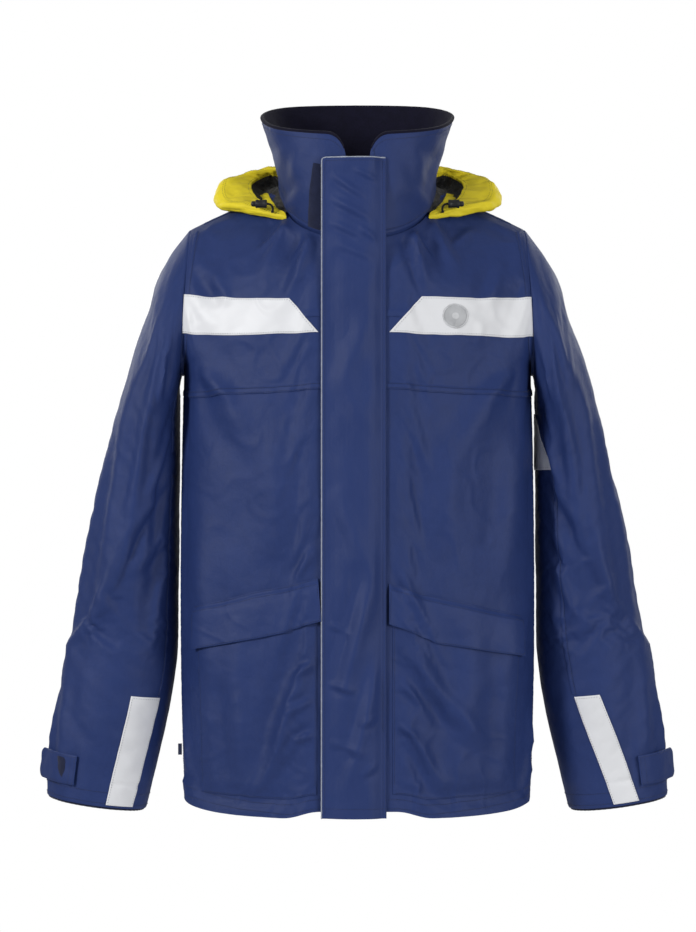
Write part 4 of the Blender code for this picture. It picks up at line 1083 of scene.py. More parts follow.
def pocket_bag(side, tag, near, top):
    low, high = [(near, 0.036), (POCKET_SIDE, 0.043)], [(near, top), (POCKET_SIDE, top - POCKET_DROP)]
    columns, rows = rimmed(70, POCKET_WIDE), rimmed(80, POCKET_TALL)
    a, b = np.meshgrid(columns, rows)
    u, v = front_grid(side, low, high, columns, rows)
    x, z = a * POCKET_WIDE, b * POCKET_TALL
    full = step_up(np.minimum(a, 1 - a) * POCKET_WIDE / 0.022) * step_up(z / 0.022)
    sag = 1.5 * MM * NOISE[3].at(x + side, z, 0.060) + 0.5 * MM * NOISE[4].at(x + side, z, 0.020)
    sag = sag + ridge(x, z, (0.02, 0.20), (0.06, 0.01), 0.012, 1.8 * MM)
    sag = sag + ridge(x, z, (0.12, 0.20), (0.10, 0.01), 0.014, 1.8 * MM)
    lift = 0.3 * MM + full * (2.4 * MM + np.maximum(sag, -1.4 * MM))
    joined(layer("pocket_cloth_" + tag, FRONT, u, v, np.maximum(lift - 0.9 * MM, 0.05 * MM), lift + 0.9 * MM,
                 SHELL),
           "jacket", ["pocket_" + tag])
    runs = [front_run(side, low, high, [c], np.linspace(0.06, 0.99, 130), 1.3 * MM) for c in (0.012, 0.988)]
    runs.append(front_run(side, low, high, np.linspace(0.02, 0.98, 110), [0.008], 1.3 * MM))
    joined(stitches("pocket_stitches_" + tag, runs, THREAD), "jacket")


def pocket_flap(side, tag, seam, hang):
    columns, rows = (rimmed(74, FLAP_WIDE),
                     np.unique(np.concatenate([rimmed(30, 0.052), np.linspace(0.8, 1, 13)])))
    a, b = np.meshgrid(columns, rows)
    u, v = front_grid(side, hang, seam, columns, rows)
    sway = 0.9 * MM * NOISE[2].at(a * FLAP_WIDE + side, b * 0.05, 0.045) * (1 - b)
    sway = sway + 0.3 * MM * NOISE[4].at(a * FLAP_WIDE, b * 0.05, 0.014)
    lift = np.interp(b, FLAP_PLACES, np.array(FLAP_STANDS) * MM) + sway
    thick = 1.5 * MM - 0.5 * MM * (np.exp(-((b - 0.86) / 0.015) ** 2) + np.exp(-((b - 0.97) / 0.015) ** 2))
    flap = layer("pocket_flap_cloth_" + tag, FRONT, u, v, lift, lift + thick, FLAP_CLOTH)
    runs = []
    for share, above in ((0.97, 1.15), (0.862, 1.15), (0.035, 1.6)):
        stand = float(np.interp(share, FLAP_PLACES, FLAP_STANDS)) + above
        runs.append(front_run(side, hang, seam, np.linspace(0.012, 0.988, 130), [share], stand * MM))
    down = np.linspace(0.04, 0.84, 40)
    stand = np.interp(down, FLAP_PLACES, FLAP_STANDS) + 1.6
    runs += [front_run(side, hang, seam, [share], down, stand * MM) for share in (0.012, 0.988)]
    thread = stitches("pocket_flap_stitches_" + tag, runs, THREAD)
    start, end = (FRONT.at(*front_grid(side, hang, seam, [0.5], [share]), 1 * MM)[0, 0] - ORIGIN
                  for share in (0.93, 0.76))
    bent(flap, "shell", "jacket", "pocket_flap_" + tag, start, end, ["pocket_flap_" + tag])
    bent(thread, "shell", "jacket", "pocket_flap_" + tag, start, end)


pocket_bag(-1, "L", 0.0500, 0.2700)
pocket_flap(-1, "L", [(0.0480, 0.3060), (0.130, 0.2900), (0.2030, 0.2700)],
            [(0.0440, 0.2536), (0.117, 0.2353), (0.2030, 0.2170)])
pocket_bag(1, "R", 0.0425, 0.2640)
pocket_flap(1, "R", [(0.0380, 0.2990), (0.125, 0.2790), (0.2030, 0.2590)],
            [(0.0380, 0.2500), (0.101, 0.2280), (0.2030, 0.2090)])


# ---------------------------------------------------------------- storm flap

# how far the flap stands off the front, from its free edge to its sewn one, both in mm
FLAP_PROFILE = (
    (-43.3, 2.9), (-42.6, 2.9), (-38, 3.2), (-33, 3.9), (-28, 5.0), (-23, 6.4), (-18, 7.6), (-12, 8.6),
    (-5, 9.2),
    (2, 9.4), (8, 9.3), (13, 8.9), (17, 8.0), (20.5, 6.7), (23.5, 5.1), (26, 3.6), (28, 2.3), (29.5, 1.6),
    (31.5, 1.3), (34.2, 1.15), (34.8, 1.1),
)
FLAP_X, FLAP_LIFT = np.array(FLAP_PROFILE).T * MM
FLAP_FOLDS = (
    ((0.024, 0.330), (-0.022, 0.150), 0.0102, 7.2), ((0.030, 0.215), (-0.012, 0.050), 0.0085, 4.9),
    ((-0.030, 0.420), (0.020, 0.300), 0.0119, 3.8), ((0.020, 0.640), (-0.030, 0.520), 0.0136, 3.2),
    ((-0.034, 0.800), (0.012, 0.768), 0.0038, 3.2), ((-0.036, 0.772), (0.018, 0.742), 0.0043, 3.5),
    ((-0.036, 0.742), (0.006, 0.722), 0.0038, 2.9), ((-0.006, 0.806), (0.027, 0.790), 0.0034, 2.6),
    ((-0.030, 0.716), (0.022, 0.694), 0.0051, 2.6), ((0.000, 0.736), (0.026, 0.716), 0.0038, 2.6),
    ((-0.038, 0.180), (0.000, 0.168), 0.0043, 2.9), ((-0.036, 0.110), (0.012, 0.092), 0.0051, 2.9),
    ((0.000, 0.128), (0.028, 0.140), 0.0043, 2.6), ((0.002, 0.066), (0.028, 0.084), 0.0043, 2.3),
    ((-0.036, 0.252), (-0.006, 0.236), 0.0043, 2.6), ((-0.030, 0.560), (0.024, 0.470), 0.0119, 2.6),
)


def flap_points(x, z, extra):
    """Points of the storm flap, with long shallow waves down it and a slight roll at its top."""
    lift = np.interp(x, FLAP_X, FLAP_LIFT)
    free = step_up((0.030 - x) / 0.012)
    wave = 1.4 * MM * NOISE[1].at(x + 2, z * 0.55, 0.050) + 0.8 * MM * NOISE[3].at(x + 3, z * 0.7, 0.020)
    for start, end, width, height in FLAP_FOLDS:
        wave = wave + ridge(x, z, start, end, width, height * MM)
    wave = wave + 0.4 * MM * NOISE[5].at(z, x * 0.3, 0.009) * np.exp(-((x - 0.033) / 0.008) ** 2)
    curl = 2.5 * MM * step_up((z - 0.790) / 0.03)
    return np.stack([x, line_y(z) - lift - free * (np.maximum(wave, -1.5 * MM) + curl) - extra, z], -1)


def flap_layer(name, x, z, low, high, look):
    low, high = rounded(x, low * MM, high * MM)
    return solid(name, flap_points(x, z, high), flap_points(x, z, low), look)


def flap_run(x, z):
    x, z = np.broadcast_arrays(np.asarray(x, float), np.asarray(z, float))
    low, high = flap_points(x, z, 1.75 * MM), flap_points(x, z, 2.75 * MM)
    return low, high - low


xs = np.unique(np.concatenate([FLAP_X, np.linspace(-0.0433, 0.0348, 60)]))
x, z = np.meshgrid(xs, FLAP_BOTTOM + rimmed(330, 0.80) * (FLAP_TOP - FLAP_BOTTOM))
flap = flap_layer("storm_flap_cloth", x, z, 0.0, 1.7, FLAP_CLOTH)
z = np.linspace(FLAP_BOTTOM + 4 * MM, FLAP_TOP - 4 * MM, 420)
across = np.linspace(-0.040, 0.033, 60)
runs = [flap_run(a * MM, z) for a in (30.6, 33.4, -40.2)]
runs += [flap_run(across, height) for height in (FLAP_TOP - 3.5 * MM, FLAP_BOTTOM + 12 * MM)]
thread = stitches("storm_flap_stitches", runs, THREAD)
# the piping runs up the free edge, round the top corner and along the top
corner, edge_x, quarter = 4 * MM, -0.0440, np.linspace(0, math.pi / 2, 7)
x = np.concatenate([np.full(200, edge_x), edge_x + corner * (1 - np.cos(quarter)),
                    np.linspace(edge_x + corner + 1 * MM, 0.0335, 50)])
z = np.concatenate([np.linspace(FLAP_BOTTOM, FLAP_TOP - corner, 200),
                    FLAP_TOP - corner + corner * np.sin(quarter) + 0.2 * MM,
                    np.full(50, FLAP_TOP + 0.6 * MM)])
piping = tube("storm_flap_cord", flap_points(x, z, 0.85 * MM), 0.85 * MM, PIPING, 8, (8, 4000))
x, z = np.meshgrid(-0.0300 + rimmed(8, 0.0085) * 0.0085, 0.060 + rimmed(90, 0.74) * 0.740)
strip = flap_layer("storm_flap_hooks", x, z, -0.9, -0.1, HOOKS)
for item, kind, nodes in ((flap, "shell", ["storm_flap"]), (thread, "shell", []),
                          (piping, "piping", ["storm_flap_piping"]),
                          (strip, "tape", ["storm_flap_hook_strip"])):
    bent(item, kind, "jacket", "storm_flap", (0.0300, -0.2205, -0.43), (0.0170, -0.2205, -0.43), nodes)
a, v = np.meshgrid(np.linspace(0, 1, 14), 0.03 + rimmed(28, 0.08) * 0.67)
u = 2.0 - 0.095 - a * (0.070 + 0.050 * (0.70 - v) / 0.67)
joined(layer("collar_loops", COLLAR, u, v, 0.1 * MM, 1.6 * MM, LOOPS), "jacket",
       ["collar_loop_strip"])


# ---------------------------------------------------------------- zip

TAPE_X = np.array([1.2, 1.6, 3.0, 6.0, 9.0, 12.2, 12.8]) * MM
TOOTH = np.array([(-1.1, -0.36), (0.6, -0.30), (1.25, -0.62), (1.9, -0.40), (1.9, 0.40), (1.25, 0.62),
                  (0.6, 0.30), (-1.1, 0.36)]) * MM
TOOTH_PITCH, TOOTH_DEPTH = 2.1 * MM, 0.95 * MM


def teeth(name, side):
    """Interlocking teeth: each a short block with a rounded head that reaches past the middle."""
    points, faces = [], []
    many = len(TOOTH)
    for n in range(int((ZIP_TOP - ZIP_BOTTOM) / TOOTH_PITCH)):
        z = ZIP_BOTTOM + (n + (0.5 if side > 0 else 0.0)) * TOOTH_PITCH
        start = len(points)
        for depth, fat in ((-TOOTH_DEPTH, 0.72), (0.0, 1.0), (TOOTH_DEPTH, 0.72)):
            for a, c in TOOTH:
                x = side * (1.6 * MM - (a if a < 0 else a * fat) * 0.85)
                points.append((x, line_y(z) - 0.15 * MM + depth, z + c * fat))
        for base in (start, start + many):
            for i in range(many):
                j = (i + 1) % many
                faces.append((base + i, base + j, base + many + j, base + many + i))
        faces.append(tuple(start + i for i in reversed(range(many))))
        faces.append(tuple(start + 2 * many + i for i in range(many)))
    if side > 0:
        faces = [tuple(reversed(face)) for face in faces]
    return piece(name, points, faces, TEETH, None, 50)


x, z = np.meshgrid(TAPE_X, ZIP_BOTTOM - 0.008 + np.linspace(0, 1, 120) * (ZIP_TOP - ZIP_BOTTOM + 0.012))
for side, tag in SIDES:
    outer, inner = (np.stack([side * x, line_y(z) + deep * MM, z], -1) for deep in (0.55, 1.15))
    joined(solid("zip_cloth_" + tag, outer, inner, ZIP_TAPE), "jacket", ["zip_tape_" + tag])
    joined(teeth("zip_teeth_" + tag, side), "jacket")


def outline(name, rings, look, sharp=50):
    """A closed body lofted through rings of points from bottom to top."""
    rings = np.array(rings, float)
    rows, many = rings.shape[:2]
    faces = [tuple(f) for f in grid_faces(rows, many, True)[0]]
    faces.append(tuple(reversed(range(many))))
    faces.append(tuple((rows - 1) * many + k for k in range(many)))
    points = rings.reshape(-1, 3)
    volume = sum(np.dot(points[f[0]], np.cross(points[f[i]], points[f[i + 1]]))
                 for f in faces for i in range(1, len(f) - 1))
    if volume < 0:
        faces = [tuple(reversed(f)) for f in faces]
    return piece(name, points, faces, look, None, sharp)


def plate(name, shape, y_low, y_high, z_mid, look, bevel=0.25, hole=None):
    """A flat plate facing the front, from an outline in (x, z) about a height, with softened edges.

    The depths and the bevel are in mm. A hole is its place on the outline and its radius.
    """
    shape, bevel, y_low, y_high = np.array(shape, float), bevel * MM, y_low * MM, y_high * MM
    centre = shape.mean(0)
    if hole is None:
        grow = shape - centre
        size = np.linalg.norm(grow, axis=1, keepdims=True)
        rings = []
        for y, fat in ((y_low, 0.0), (y_low, bevel), (y_low - bevel, 2 * bevel), (y_high + bevel, 2 * bevel),
                       (y_high, bevel), (y_high, 0.0)):
            ring = centre + grow * np.clip((size - 2 * bevel + fat) / size, 0, 1)
            rings.append([(a, line_y(z_mid + c) + y, z_mid + c) for a, c in ring])
        return outline(name, rings, look)
    at, radius = np.array(hole[0]), hole[1]
    angle = np.arctan2(shape[:, 1] - at[1], shape[:, 0] - at[0])
    inside = at + radius * np.stack([np.cos(angle), np.sin(angle)], 1)
    near, wide = centre + (shape - centre) * 0.94, at + (inside - at) * 1.1
    section = [(shape, y_high + bevel), (near, y_high), (wide, y_high), (inside, y_high + bevel),
               (inside, y_low - bevel), (wide, y_low), (near, y_low), (shape, y_low - bevel)]
    points = [(a, line_y(z_mid + c) + y, z_mid + c) for ring, y in section for a, c in ring]
    many = len(shape)
    faces = [(i * many + k, i * many + (k + 1) % many, (i + 1) % 8 * many + (k + 1) % many,
              (i + 1) % 8 * many + k)
             for i in range(8) for k in range(many)]
    return piece(name, points, faces, look, None, 50)


def rounded_box(half_x, low, high, corner, many=6):
    """An outline in (x, z) with round corners, from sizes in mm."""
    half_x, low, high, corner = half_x * MM, low * MM, high * MM, corner * MM
    points = []
    for cx, cz, start in ((half_x - corner, high - corner, 0), (-half_x + corner, high - corner, 90),
                          (-half_x + corner, low + corner, 180), (half_x - corner, low + corner, 270)):
        for k in range(many):
            a = math.radians(start + 90 * k / (many - 1))
            points.append((cx + corner * math.cos(a), cz + corner * math.sin(a)))
    return points


PULLER_Z = SLIDER_Z - 0.013
for name, box, y_low, y_high, nodes in (
        ("slider_front", (5, -6, 6, 2.4), -1.25, -2.5, ["zip_slider"]),
        ("slider_bridge", (1.7, -2.5, 5, 0.9), -2.4, -3.55, []),
        ("slider_back", (4.6, -5.6, 5.6, 2.2), 2.0, 1.2, [])):
    joined(plate(name, rounded_box(*box), y_low, y_high, SLIDER_Z, METAL), "zip_slider", nodes)
joined(plate("puller_blade", rounded_box(3.0, -12, 13, 1.5, 8), -3.95, -5.05, PULLER_Z, METAL, 0.2,
             ((0.0, 9.0 * MM), 1.5 * MM)), "zip_puller", ["zip_puller"])
joined(plate("puller_grip", rounded_box(2.3, -10.5, 1.5, 1.0), -4.95, -5.35, PULLER_Z, NYLON),
       "zip_puller")
joined(plate("pin_box_block", rounded_box(4.4, -4.6, 4.6, 1.2), 2.2, -1.8, 0.0243, NYLON, 0.4),
       "jacket", ["zip_pin_box"])


# ---------------------------------------------------------------- collar

around = np.unique(np.concatenate([FIRST + rimmed(150, 0.48) * (2.0 - 2 * FIRST),
                                   0.117 - np.linspace(0, 0.074, 16), 1.883 + np.linspace(0, 0.074, 16)]))
around = around[(around >= FIRST) & (around <= 2.0 - FIRST)]
# the cloth goes under the yoke at the bottom, and stops under the fleece that rolls over the top
tall = np.concatenate([[-0.10, -0.08, -0.05, -0.02, 0.0, 0.01], np.linspace(0.03, 0.93, 34),
                       [0.945, 0.958, 0.968, 0.976, 0.982]])
u, v = np.meshgrid(around, tall)
tuck = -2.2 * MM * step_up((0.012 - v) / 0.035)
roll = np.clip((tall - 0.962) / 0.020, 0, 1)[:, None]
top = tuck - 1.2 * MM * (1 - np.sqrt(1 - roll**2))
joined(layer("collar_cloth", COLLAR, u, lip(u, v), np.minimum(tuck - 1.4 * MM, top - 0.2 * MM), top, SHELL,
             edges=False),
       "jacket", ["collar"])
tall = np.concatenate([[0.02, 0.026], np.linspace(0.05, 0.94, 30),
                       [0.955, 0.966, 0.972, 0.976, 0.980, 0.985, 0.992, 0.998, 1.0]])
u, v = np.meshgrid(FIRST + 0.008 + rimmed(130, 0.46) * (1.984 - 2 * FIRST), tall)
fuzz = 0.4 * MM * NOISE[4].at(0.2 * u, 0.1 * v, 0.004)
over = step_up((v - 0.962) / 0.016)
crown = np.sqrt(np.clip(1 - ((v - 0.984) / 0.0165) ** 2, 0.02, 1)) * (v > 0.984) + (v <= 0.984)
centre = -1.9 * MM * over - 3.3 * MM * (1 - over)
half_thick = (1.3 * MM * (1 - over) + 2.5 * MM * over) * crown
joined(layer("collar_fleece_cloth", COLLAR, u, lip(u, v), centre - half_thick + fuzz,
             centre + half_thick + 0.3 * fuzz * over, FLEECE, edges=False), "jacket",
             ["collar_lining"])
u = np.linspace(FIRST + 0.012, 1.988 - FIRST, 560)
v = np.linspace(0.05, 0.93, 60)
runs = [run_on(COLLAR, u, lip(u, 0.925), 0.15 * MM), run_on(COLLAR, u, 0.060, 0.15 * MM),
        run_on(COLLAR, FIRST + 0.018, lip(FIRST + 0.018, v), 0.15 * MM)]
joined(stitches("collar_stitches", runs, THREAD), "jacket")
# the seam that joins the collar to the body and holds the hood
u = np.linspace(FIRST + 0.004, 1.996 - FIRST, 300)
joined(ribbon("neck_seam", COLLAR, u, 0.030, (0, 1), 2.6, 0.7, 1, 0.2), "jacket")

# the hanging loop lies on the collar at both ends and stands off it in the middle
x = np.concatenate([np.linspace(-34, -27, 5), np.linspace(-25, 25, 22), np.linspace(27, 34, 5)]) * MM
knots = np.array([-34, -27, -10, 10, 27, 34]) * MM
ends = [COLLAR.surface.point(a, 0.2)[1] - off * MM for a, off in ((0.885, 5.5), (0.91, 5.9))]
face = np.array(ends + [ORIGIN[1]] * 2 + ends[::-1])
y = np.interp(x, knots, face)[None, :]
high = ORIGIN[2] + np.array([-4.0, -3.7, -1.5, 1.5, 3.7, 4.0])[:, None] * MM + 0 * y
thin = np.array([0.35, 0.0, 0.0, 0.0, 0.0, 0.35])[:, None] * MM
outer, inner = (np.stack([x + 0 * high, deep, high], -1) for deep in (y - 1.2 * MM + thin, y - thin))
joined(solid("hang_loop_strap", outer, inner, TAPE), "jacket", ["hang_loop"])
runs = []
for off in (-28.5, -32.5, 28.5, 32.5):
    line = np.full((10, 3), (off * MM, np.interp(off * MM, knots, face) - 1.25 * MM, ORIGIN[2]))
    line[:, 2] += np.linspace(-3.2, 3.2, 10) * MM
    runs.append((line, np.tile((0.0, -1.0, 0.0), (10, 1))))
joined(stitches("hang_loop_stitches", runs, PALE_THREAD, 1.6 * MM, 1.2 * MM, 0.25 * MM), "jacket")


# ---------------------------------------------------------------- hood and cord locks

# A wing is a scoop, open to the front: its inner edge, its rim, its outside and its underside, each from the
# collar's side round the outer corner to the tip, and the seam that its mesh goes down to.
WING_EDGE = [(0.098, 0.036, 0.812), (0.110, 0.040, 0.817), (0.124, 0.036, 0.812), (0.135, 0.016, 0.801),
             (0.130, -0.010, 0.785), (0.114, -0.036, 0.772), (0.0905, -0.058, 0.7585)]
WING_RIM = [(0.100, 0.030, 0.8265), (0.125, 0.036, 0.8215), (0.155, 0.034, 0.8135), (0.174, 0.014, 0.8015),
            (0.170, -0.014, 0.778), (0.135, -0.044, 0.7665), (0.0885, -0.062, 0.7525)]
WING_OUTSIDE = [(0.150, 0.080, 0.8165), (0.163, 0.072, 0.806), (0.173, 0.054, 0.796), (0.180, 0.030, 0.786),
                (0.174, -0.004, 0.770), (0.137, -0.038, 0.7595), (0.0895, -0.060, 0.7500)]
WING_UNDER = [(0.118, 0.068, 0.790), (0.116, 0.054, 0.788), (0.115, 0.040, 0.789), (0.114, 0.020, 0.791),
              (0.110, -0.008, 0.781), (0.100, -0.034, 0.767), (0.0885, -0.0575, 0.7515)]
WING_SEAM = [(0.0905, 0.040, 0.803), (0.0955, 0.030, 0.801), (0.099, 0.020, 0.799), (0.101, 0.008, 0.7955),
             (0.0985, -0.010, 0.788), (0.094, -0.034, 0.7755), (0.0880, -0.056, 0.760)]
ALONG = (0.0, 0.16, 0.35, 0.52, 0.68, 0.84, 1.0)
SAGGED = (np.array(WING_EDGE) + WING_SEAM) / 2 + np.outer((0.6, 1, 1, 1, 1, 0.7, 0.1), (0.0, 0.010, -0.007))
HOOD_THICK = 1.1 * MM
HOOD_THREAD = HOOD_THICK + 0.1 * MM


def crumpled(side, size):
    """Folds for a wing, different on each side, with its ends held."""
    def lift(u, v, base):
        held = step_up(u / 0.06) * step_up((1 - u) / 0.10)
        rough = (2.0 * NOISE[1].at(0.22 * u + side, 0.07 * v, 0.024)
                 + 1.3 * NOISE[2].at(0.22 * u + side, 0.07 * v, 0.011)
                 + 0.4 * NOISE[3].at(0.22 * u + side, 0.07 * v, 0.005))
        return held * size * MM * rough
    return lift


def hood_wing(side, tag):
    wing = Cloth(Patch([WING_EDGE, WING_RIM, WING_OUTSIDE, WING_UNDER], ALONG, (0.0, 0.36, 0.62, 1.0)),
                 crumpled(side, 1.0))
    net = Cloth(Patch([WING_SEAM, SAGGED, np.array(WING_EDGE) + (0, 0.002, -0.001)], ALONG, (0.0, 0.5, 1.0)),
                crumpled(side, 0.7))
    u, v = np.meshgrid(rimmed(110, 0.2), rimmed(90, 0.10))
    joined(layer("hood_side_" + tag, wing, u, v, 0.0, HOOD_THICK, YELLOW, side), "jacket",
           ["hood_wing_" + tag])
    u, v = np.meshgrid(rimmed(80, 0.2), rimmed(30, 0.03))
    joined(layer("hood_side_mesh_" + tag, net, u, v, -0.4 * MM, 0.4 * MM, MESH, side), "jacket",
           ["hood_wing_%s_lining" % tag])
    u = np.linspace(0.03, 0.97, 260)
    runs = [run_on(wing, u, at, HOOD_THREAD, side) for at in (0.03, 0.27, 0.30)]
    joined(stitches("hood_side_stitches_" + tag, runs, YELLOW_THREAD), "jacket")


def hood_layer(name, half, low, high, columns, rows, inner, outer, look):
    across, up = (2 * rimmed(columns, 0.15) - 1) * half, low + rimmed(rows, 0.08) * (high - low)
    return layer(name, HOOD, *np.meshgrid(across, up), inner, outer, look)


for side, tag in SIDES:
    hood_wing(side, tag)
u, w = np.linspace(-0.50, 0.50, 300), np.linspace(0.03, 0.65, 120)
runs = [run_on(HOOD, u, at, HOOD_THREAD) for at in (0.06, 0.655)]
runs += [run_on(HOOD, at, w, HOOD_THREAD) for at in (-0.20, -0.18, 0.18, 0.20)]
rim_runs = [run_on(HOOD, u, at, HOOD_THREAD) for at in (0.695, 0.90, 0.925)]
FOLDING = np.array((0.0, 1.0, -0.15)) / (1.0 + 0.15**2)
for item, kind, nodes in (
        (hood_layer("hood_back_cloth", 0.512, 0.0, 0.679, 110, 70, 0.0, HOOD_THICK, YELLOW), "yellow",
         ["hood_back"]),
        (hood_layer("hood_back_mesh", 0.505, 0.04, 0.672, 80, 50, -3.0 * MM, -2.2 * MM, MESH), "mesh",
         ["hood_back_lining"]),
        (stitches("hood_back_stitches", runs, YELLOW_THREAD), "yellow", []),
        (hood_layer("hood_rim_cloth", 0.512, 0.680, 1.0, 110, 40, 0.0, HOOD_THICK, YELLOW), "yellow",
         ["hood_rim"]),
        (stitches("hood_rim_stitches", rim_runs, YELLOW_THREAD), "yellow", [])):
    bent(item, kind, "jacket", "hood", FOLDING * 0.0509, FOLDING * 0.1500, nodes)

# how far out along the lock, how wide, and how deeply ribbed, in mm
BARREL = ((-7.0, 4.3, 0), (-6.9, 4.9, 0), (-6.2, 5.25, 0), (-4.0, 5.3, 0), (-3.4, 5.0, 0.02),
          (-1.0, 4.8, 0.035),
          (2.0, 4.8, 0.035), (4.4, 5.0, 0.02), (5.0, 5.3, 0), (6.3, 5.25, 0), (6.9, 4.9, 0), (7.0, 4.3, 0))
BUTTON = ((1.0, 3.4), (4.0, 3.45), (9.0, 3.45), (10.6, 3.5), (11.8, 3.1), (12.4, 2.2), (12.6, 0.8))
CORD_BEND = ((-7.4, 0, 0), (-9.6, 0, -0.2), (-12, 0, -1.2), (-13.8, 0.6, -3.4), (-14.4, 1, -6.2),
             (-14.1, 1, -8.6), (-13.5, 1, -10.5))


def lock_rings(side, rings):
    turn = np.linspace(0, 2 * math.pi, 40, endpoint=False)
    found = []
    for reach, radius, ribs in rings:
        r = radius * MM * (1 + ribs * np.cos(10 * turn))
        found.append(np.stack([np.full(40, side * (LOCK_AT[0] + reach * MM)), LOCK_AT[1] + r * np.cos(turn),
                               LOCK_AT[2] + r * np.sin(turn)], -1))
    return found


for side, tag in SIDES:
    bore = lock_rings(side, [(reach, 3.95, 0) for reach, _, _ in BARREL])
    joined(solid("lock_barrel_" + tag, lock_rings(side, BARREL), bore, NYLON, ring=True), "jacket",
           ["cord_lock_" + tag])
    button = lock_rings(side, [(reach, radius, 0) for reach, radius in BUTTON])
    joined(outline("lock_button_" + tag, button, NYLON, 40), "plunger_" + tag,
           ["cord_lock_plunger_" + tag])
    bend = np.array(LOCK_AT) + np.array(CORD_BEND) * MM
    path = weights(np.arange(7), np.linspace(0, 6, 40)).dot(bend) * (side, 1, 1)
    knot = 1.35 * MM + 1.0 * MM * np.exp(-((np.arange(40) - 35) / 2.2) ** 2)
    joined(tube("lock_cord_" + tag, path, knot, CORD, 12, (12, 3000)), "jacket", ["hood_cord_" + tag])


# ---------------------------------------------------------------- sleeves

SPLIT, CUFF_END = 0.1900, 0.6300
# the forearm band's place along the sleeve, and its upper and lower ends, each as its two angles
BAND_START, BAND_LONG = 0.491, 0.136
BAND_ENDS = {1: ((94.0, 120.0), (70.0, 99.0)), -1: ((109.6, 143.4), (103.8, 137.4))}
# the front seam's angles, from the body to the elbow and from there to the band
TOP_SEAM_ANGLES = {1: (178, 175, 131), -1: (152, 151, 150)}
SEAM_ANGLES = {1: (131, 128.5, 124.5, 120.0), -1: (150, 148.5, 146, 143.4)}
KNIT_RIBS = 52


def at_shoulder(side):
    """Two places at the shoulder, one at the body's side and one out on the sleeve."""
    return (side * 0.2215, -0.065, -0.274), (side * 0.2640, -0.065, -0.3476)


def bent_at_elbow(item, slot, side, tag, nodes=()):
    bent(item, slot, "upper_sleeve_" + tag, "forearm_" + tag, (side * 0.28, -0.059, -0.392),
         (side * 0.28, -0.059, -0.502), nodes)


def sleeve(side, tag):
    cloth, turn = SLEEVES[side], np.linspace(0, 2 * math.pi, 132, endpoint=False)
    a, v = np.meshgrid(turn, np.concatenate([[-0.0050, -0.0040, -0.0022, -0.0008, 0.0008, 0.0022],
                                             np.linspace(0.005, SPLIT, 72)]))
    # the sleeve's edge goes in under the body's
    under = -1.4 * MM * step_up((0.0022 - v) / 0.0040)
    inward = np.stack([np.minimum(v, 0.0), 0 * v, 0 * v], -1)
    outer, inner = ((cloth.at(a, np.maximum(v, 0), under + thick) + inward) * (side, 1, 1)
                    for thick in (0.0, SHELL_LOW))
    bent(solid("sleeve_top_" + tag, outer, inner, SHELL, True), "shell", "jacket", "upper_sleeve_" + tag,
         *at_shoulder(side), ["sleeve_cap_" + tag, "sleeve_upper_" + tag])
    a, v = np.meshgrid(turn, np.concatenate([np.linspace(SPLIT, 0.6262, 150), [0.6285, 0.6294, CUFF_END]]))
    curl = np.where(v > 0.6282, (v - 0.6282) * -0.30, 0)
    thick = SHELL_LOW - 0.5 * MM * step_up((v - 0.585) / 0.004)
    low = layer("sleeve_low_" + tag, cloth, a, v, thick, curl, SHELL, side, ring=True, edges=False)
    bent_at_elbow(low, "shell", side, tag, ["sleeve_elbow_" + tag, "sleeve_forearm_" + tag])
    around = np.linspace(0, 2 * math.pi, KNIT_RIBS * 5, endpoint=False)
    a, v = np.meshgrid(around, np.linspace(0.560, 0.6326, 24))
    rib = 0.42 * MM * np.cos(KNIT_RIBS * a)
    joined(layer("wrist_knit_" + tag, cloth, a, v, -4.4 * MM + rib, -2.7 * MM + rib, CUFF_KNIT,
                 side, ring=True, edges=False),
           "forearm_" + tag, ["inner_cuff_" + tag])


def band_angle(side, along, across):
    """The forearm band's angle at a place along the sleeve, from one edge (0) to the other (1)."""
    share = (along - BAND_START) / BAND_LONG
    low, high = ([ends[k] for ends in BAND_ENDS[side]] for k in (0, 1))
    low, high = (np.radians(low[0] + (low[1] - low[0]) * share),
                 np.radians(high[0] + (high[1] - high[0]) * share))
    return low + (high - low) * across


def forearm_band(side, tag):
    cloth = SLEEVES[side]
    v = BAND_START + rimmed(80, BAND_LONG)[:, None] * BAND_LONG
    a = band_angle(side, v, rimmed(30, 0.035)[None, :])
    fold = -0.9 * MM * np.exp(-((v - 0.600) / 0.0035) ** 2) + 0 * a
    joined(layer("forearm_tape_" + tag, cloth, a, v + 0 * a, 0.2 * MM + fold, BAND_TOP + fold, BAND, side),
           "forearm_" + tag, ["forearm_band_" + tag])
    w = np.linspace(0.494, 0.625, 120)
    runs = [run_on(cloth, band_angle(side, w, across), w, BAND_TOP, side) for across in (0.05, 0.95)]
    start, end = BAND_ENDS[side][0]
    runs.append(run_on(cloth, np.radians(np.linspace(start + 2, end - 2, 30)), 0.4935, BAND_TOP, side))
    joined(stitches("forearm_tape_stitches_" + tag, runs, PALE_THREAD), "forearm_" + tag)


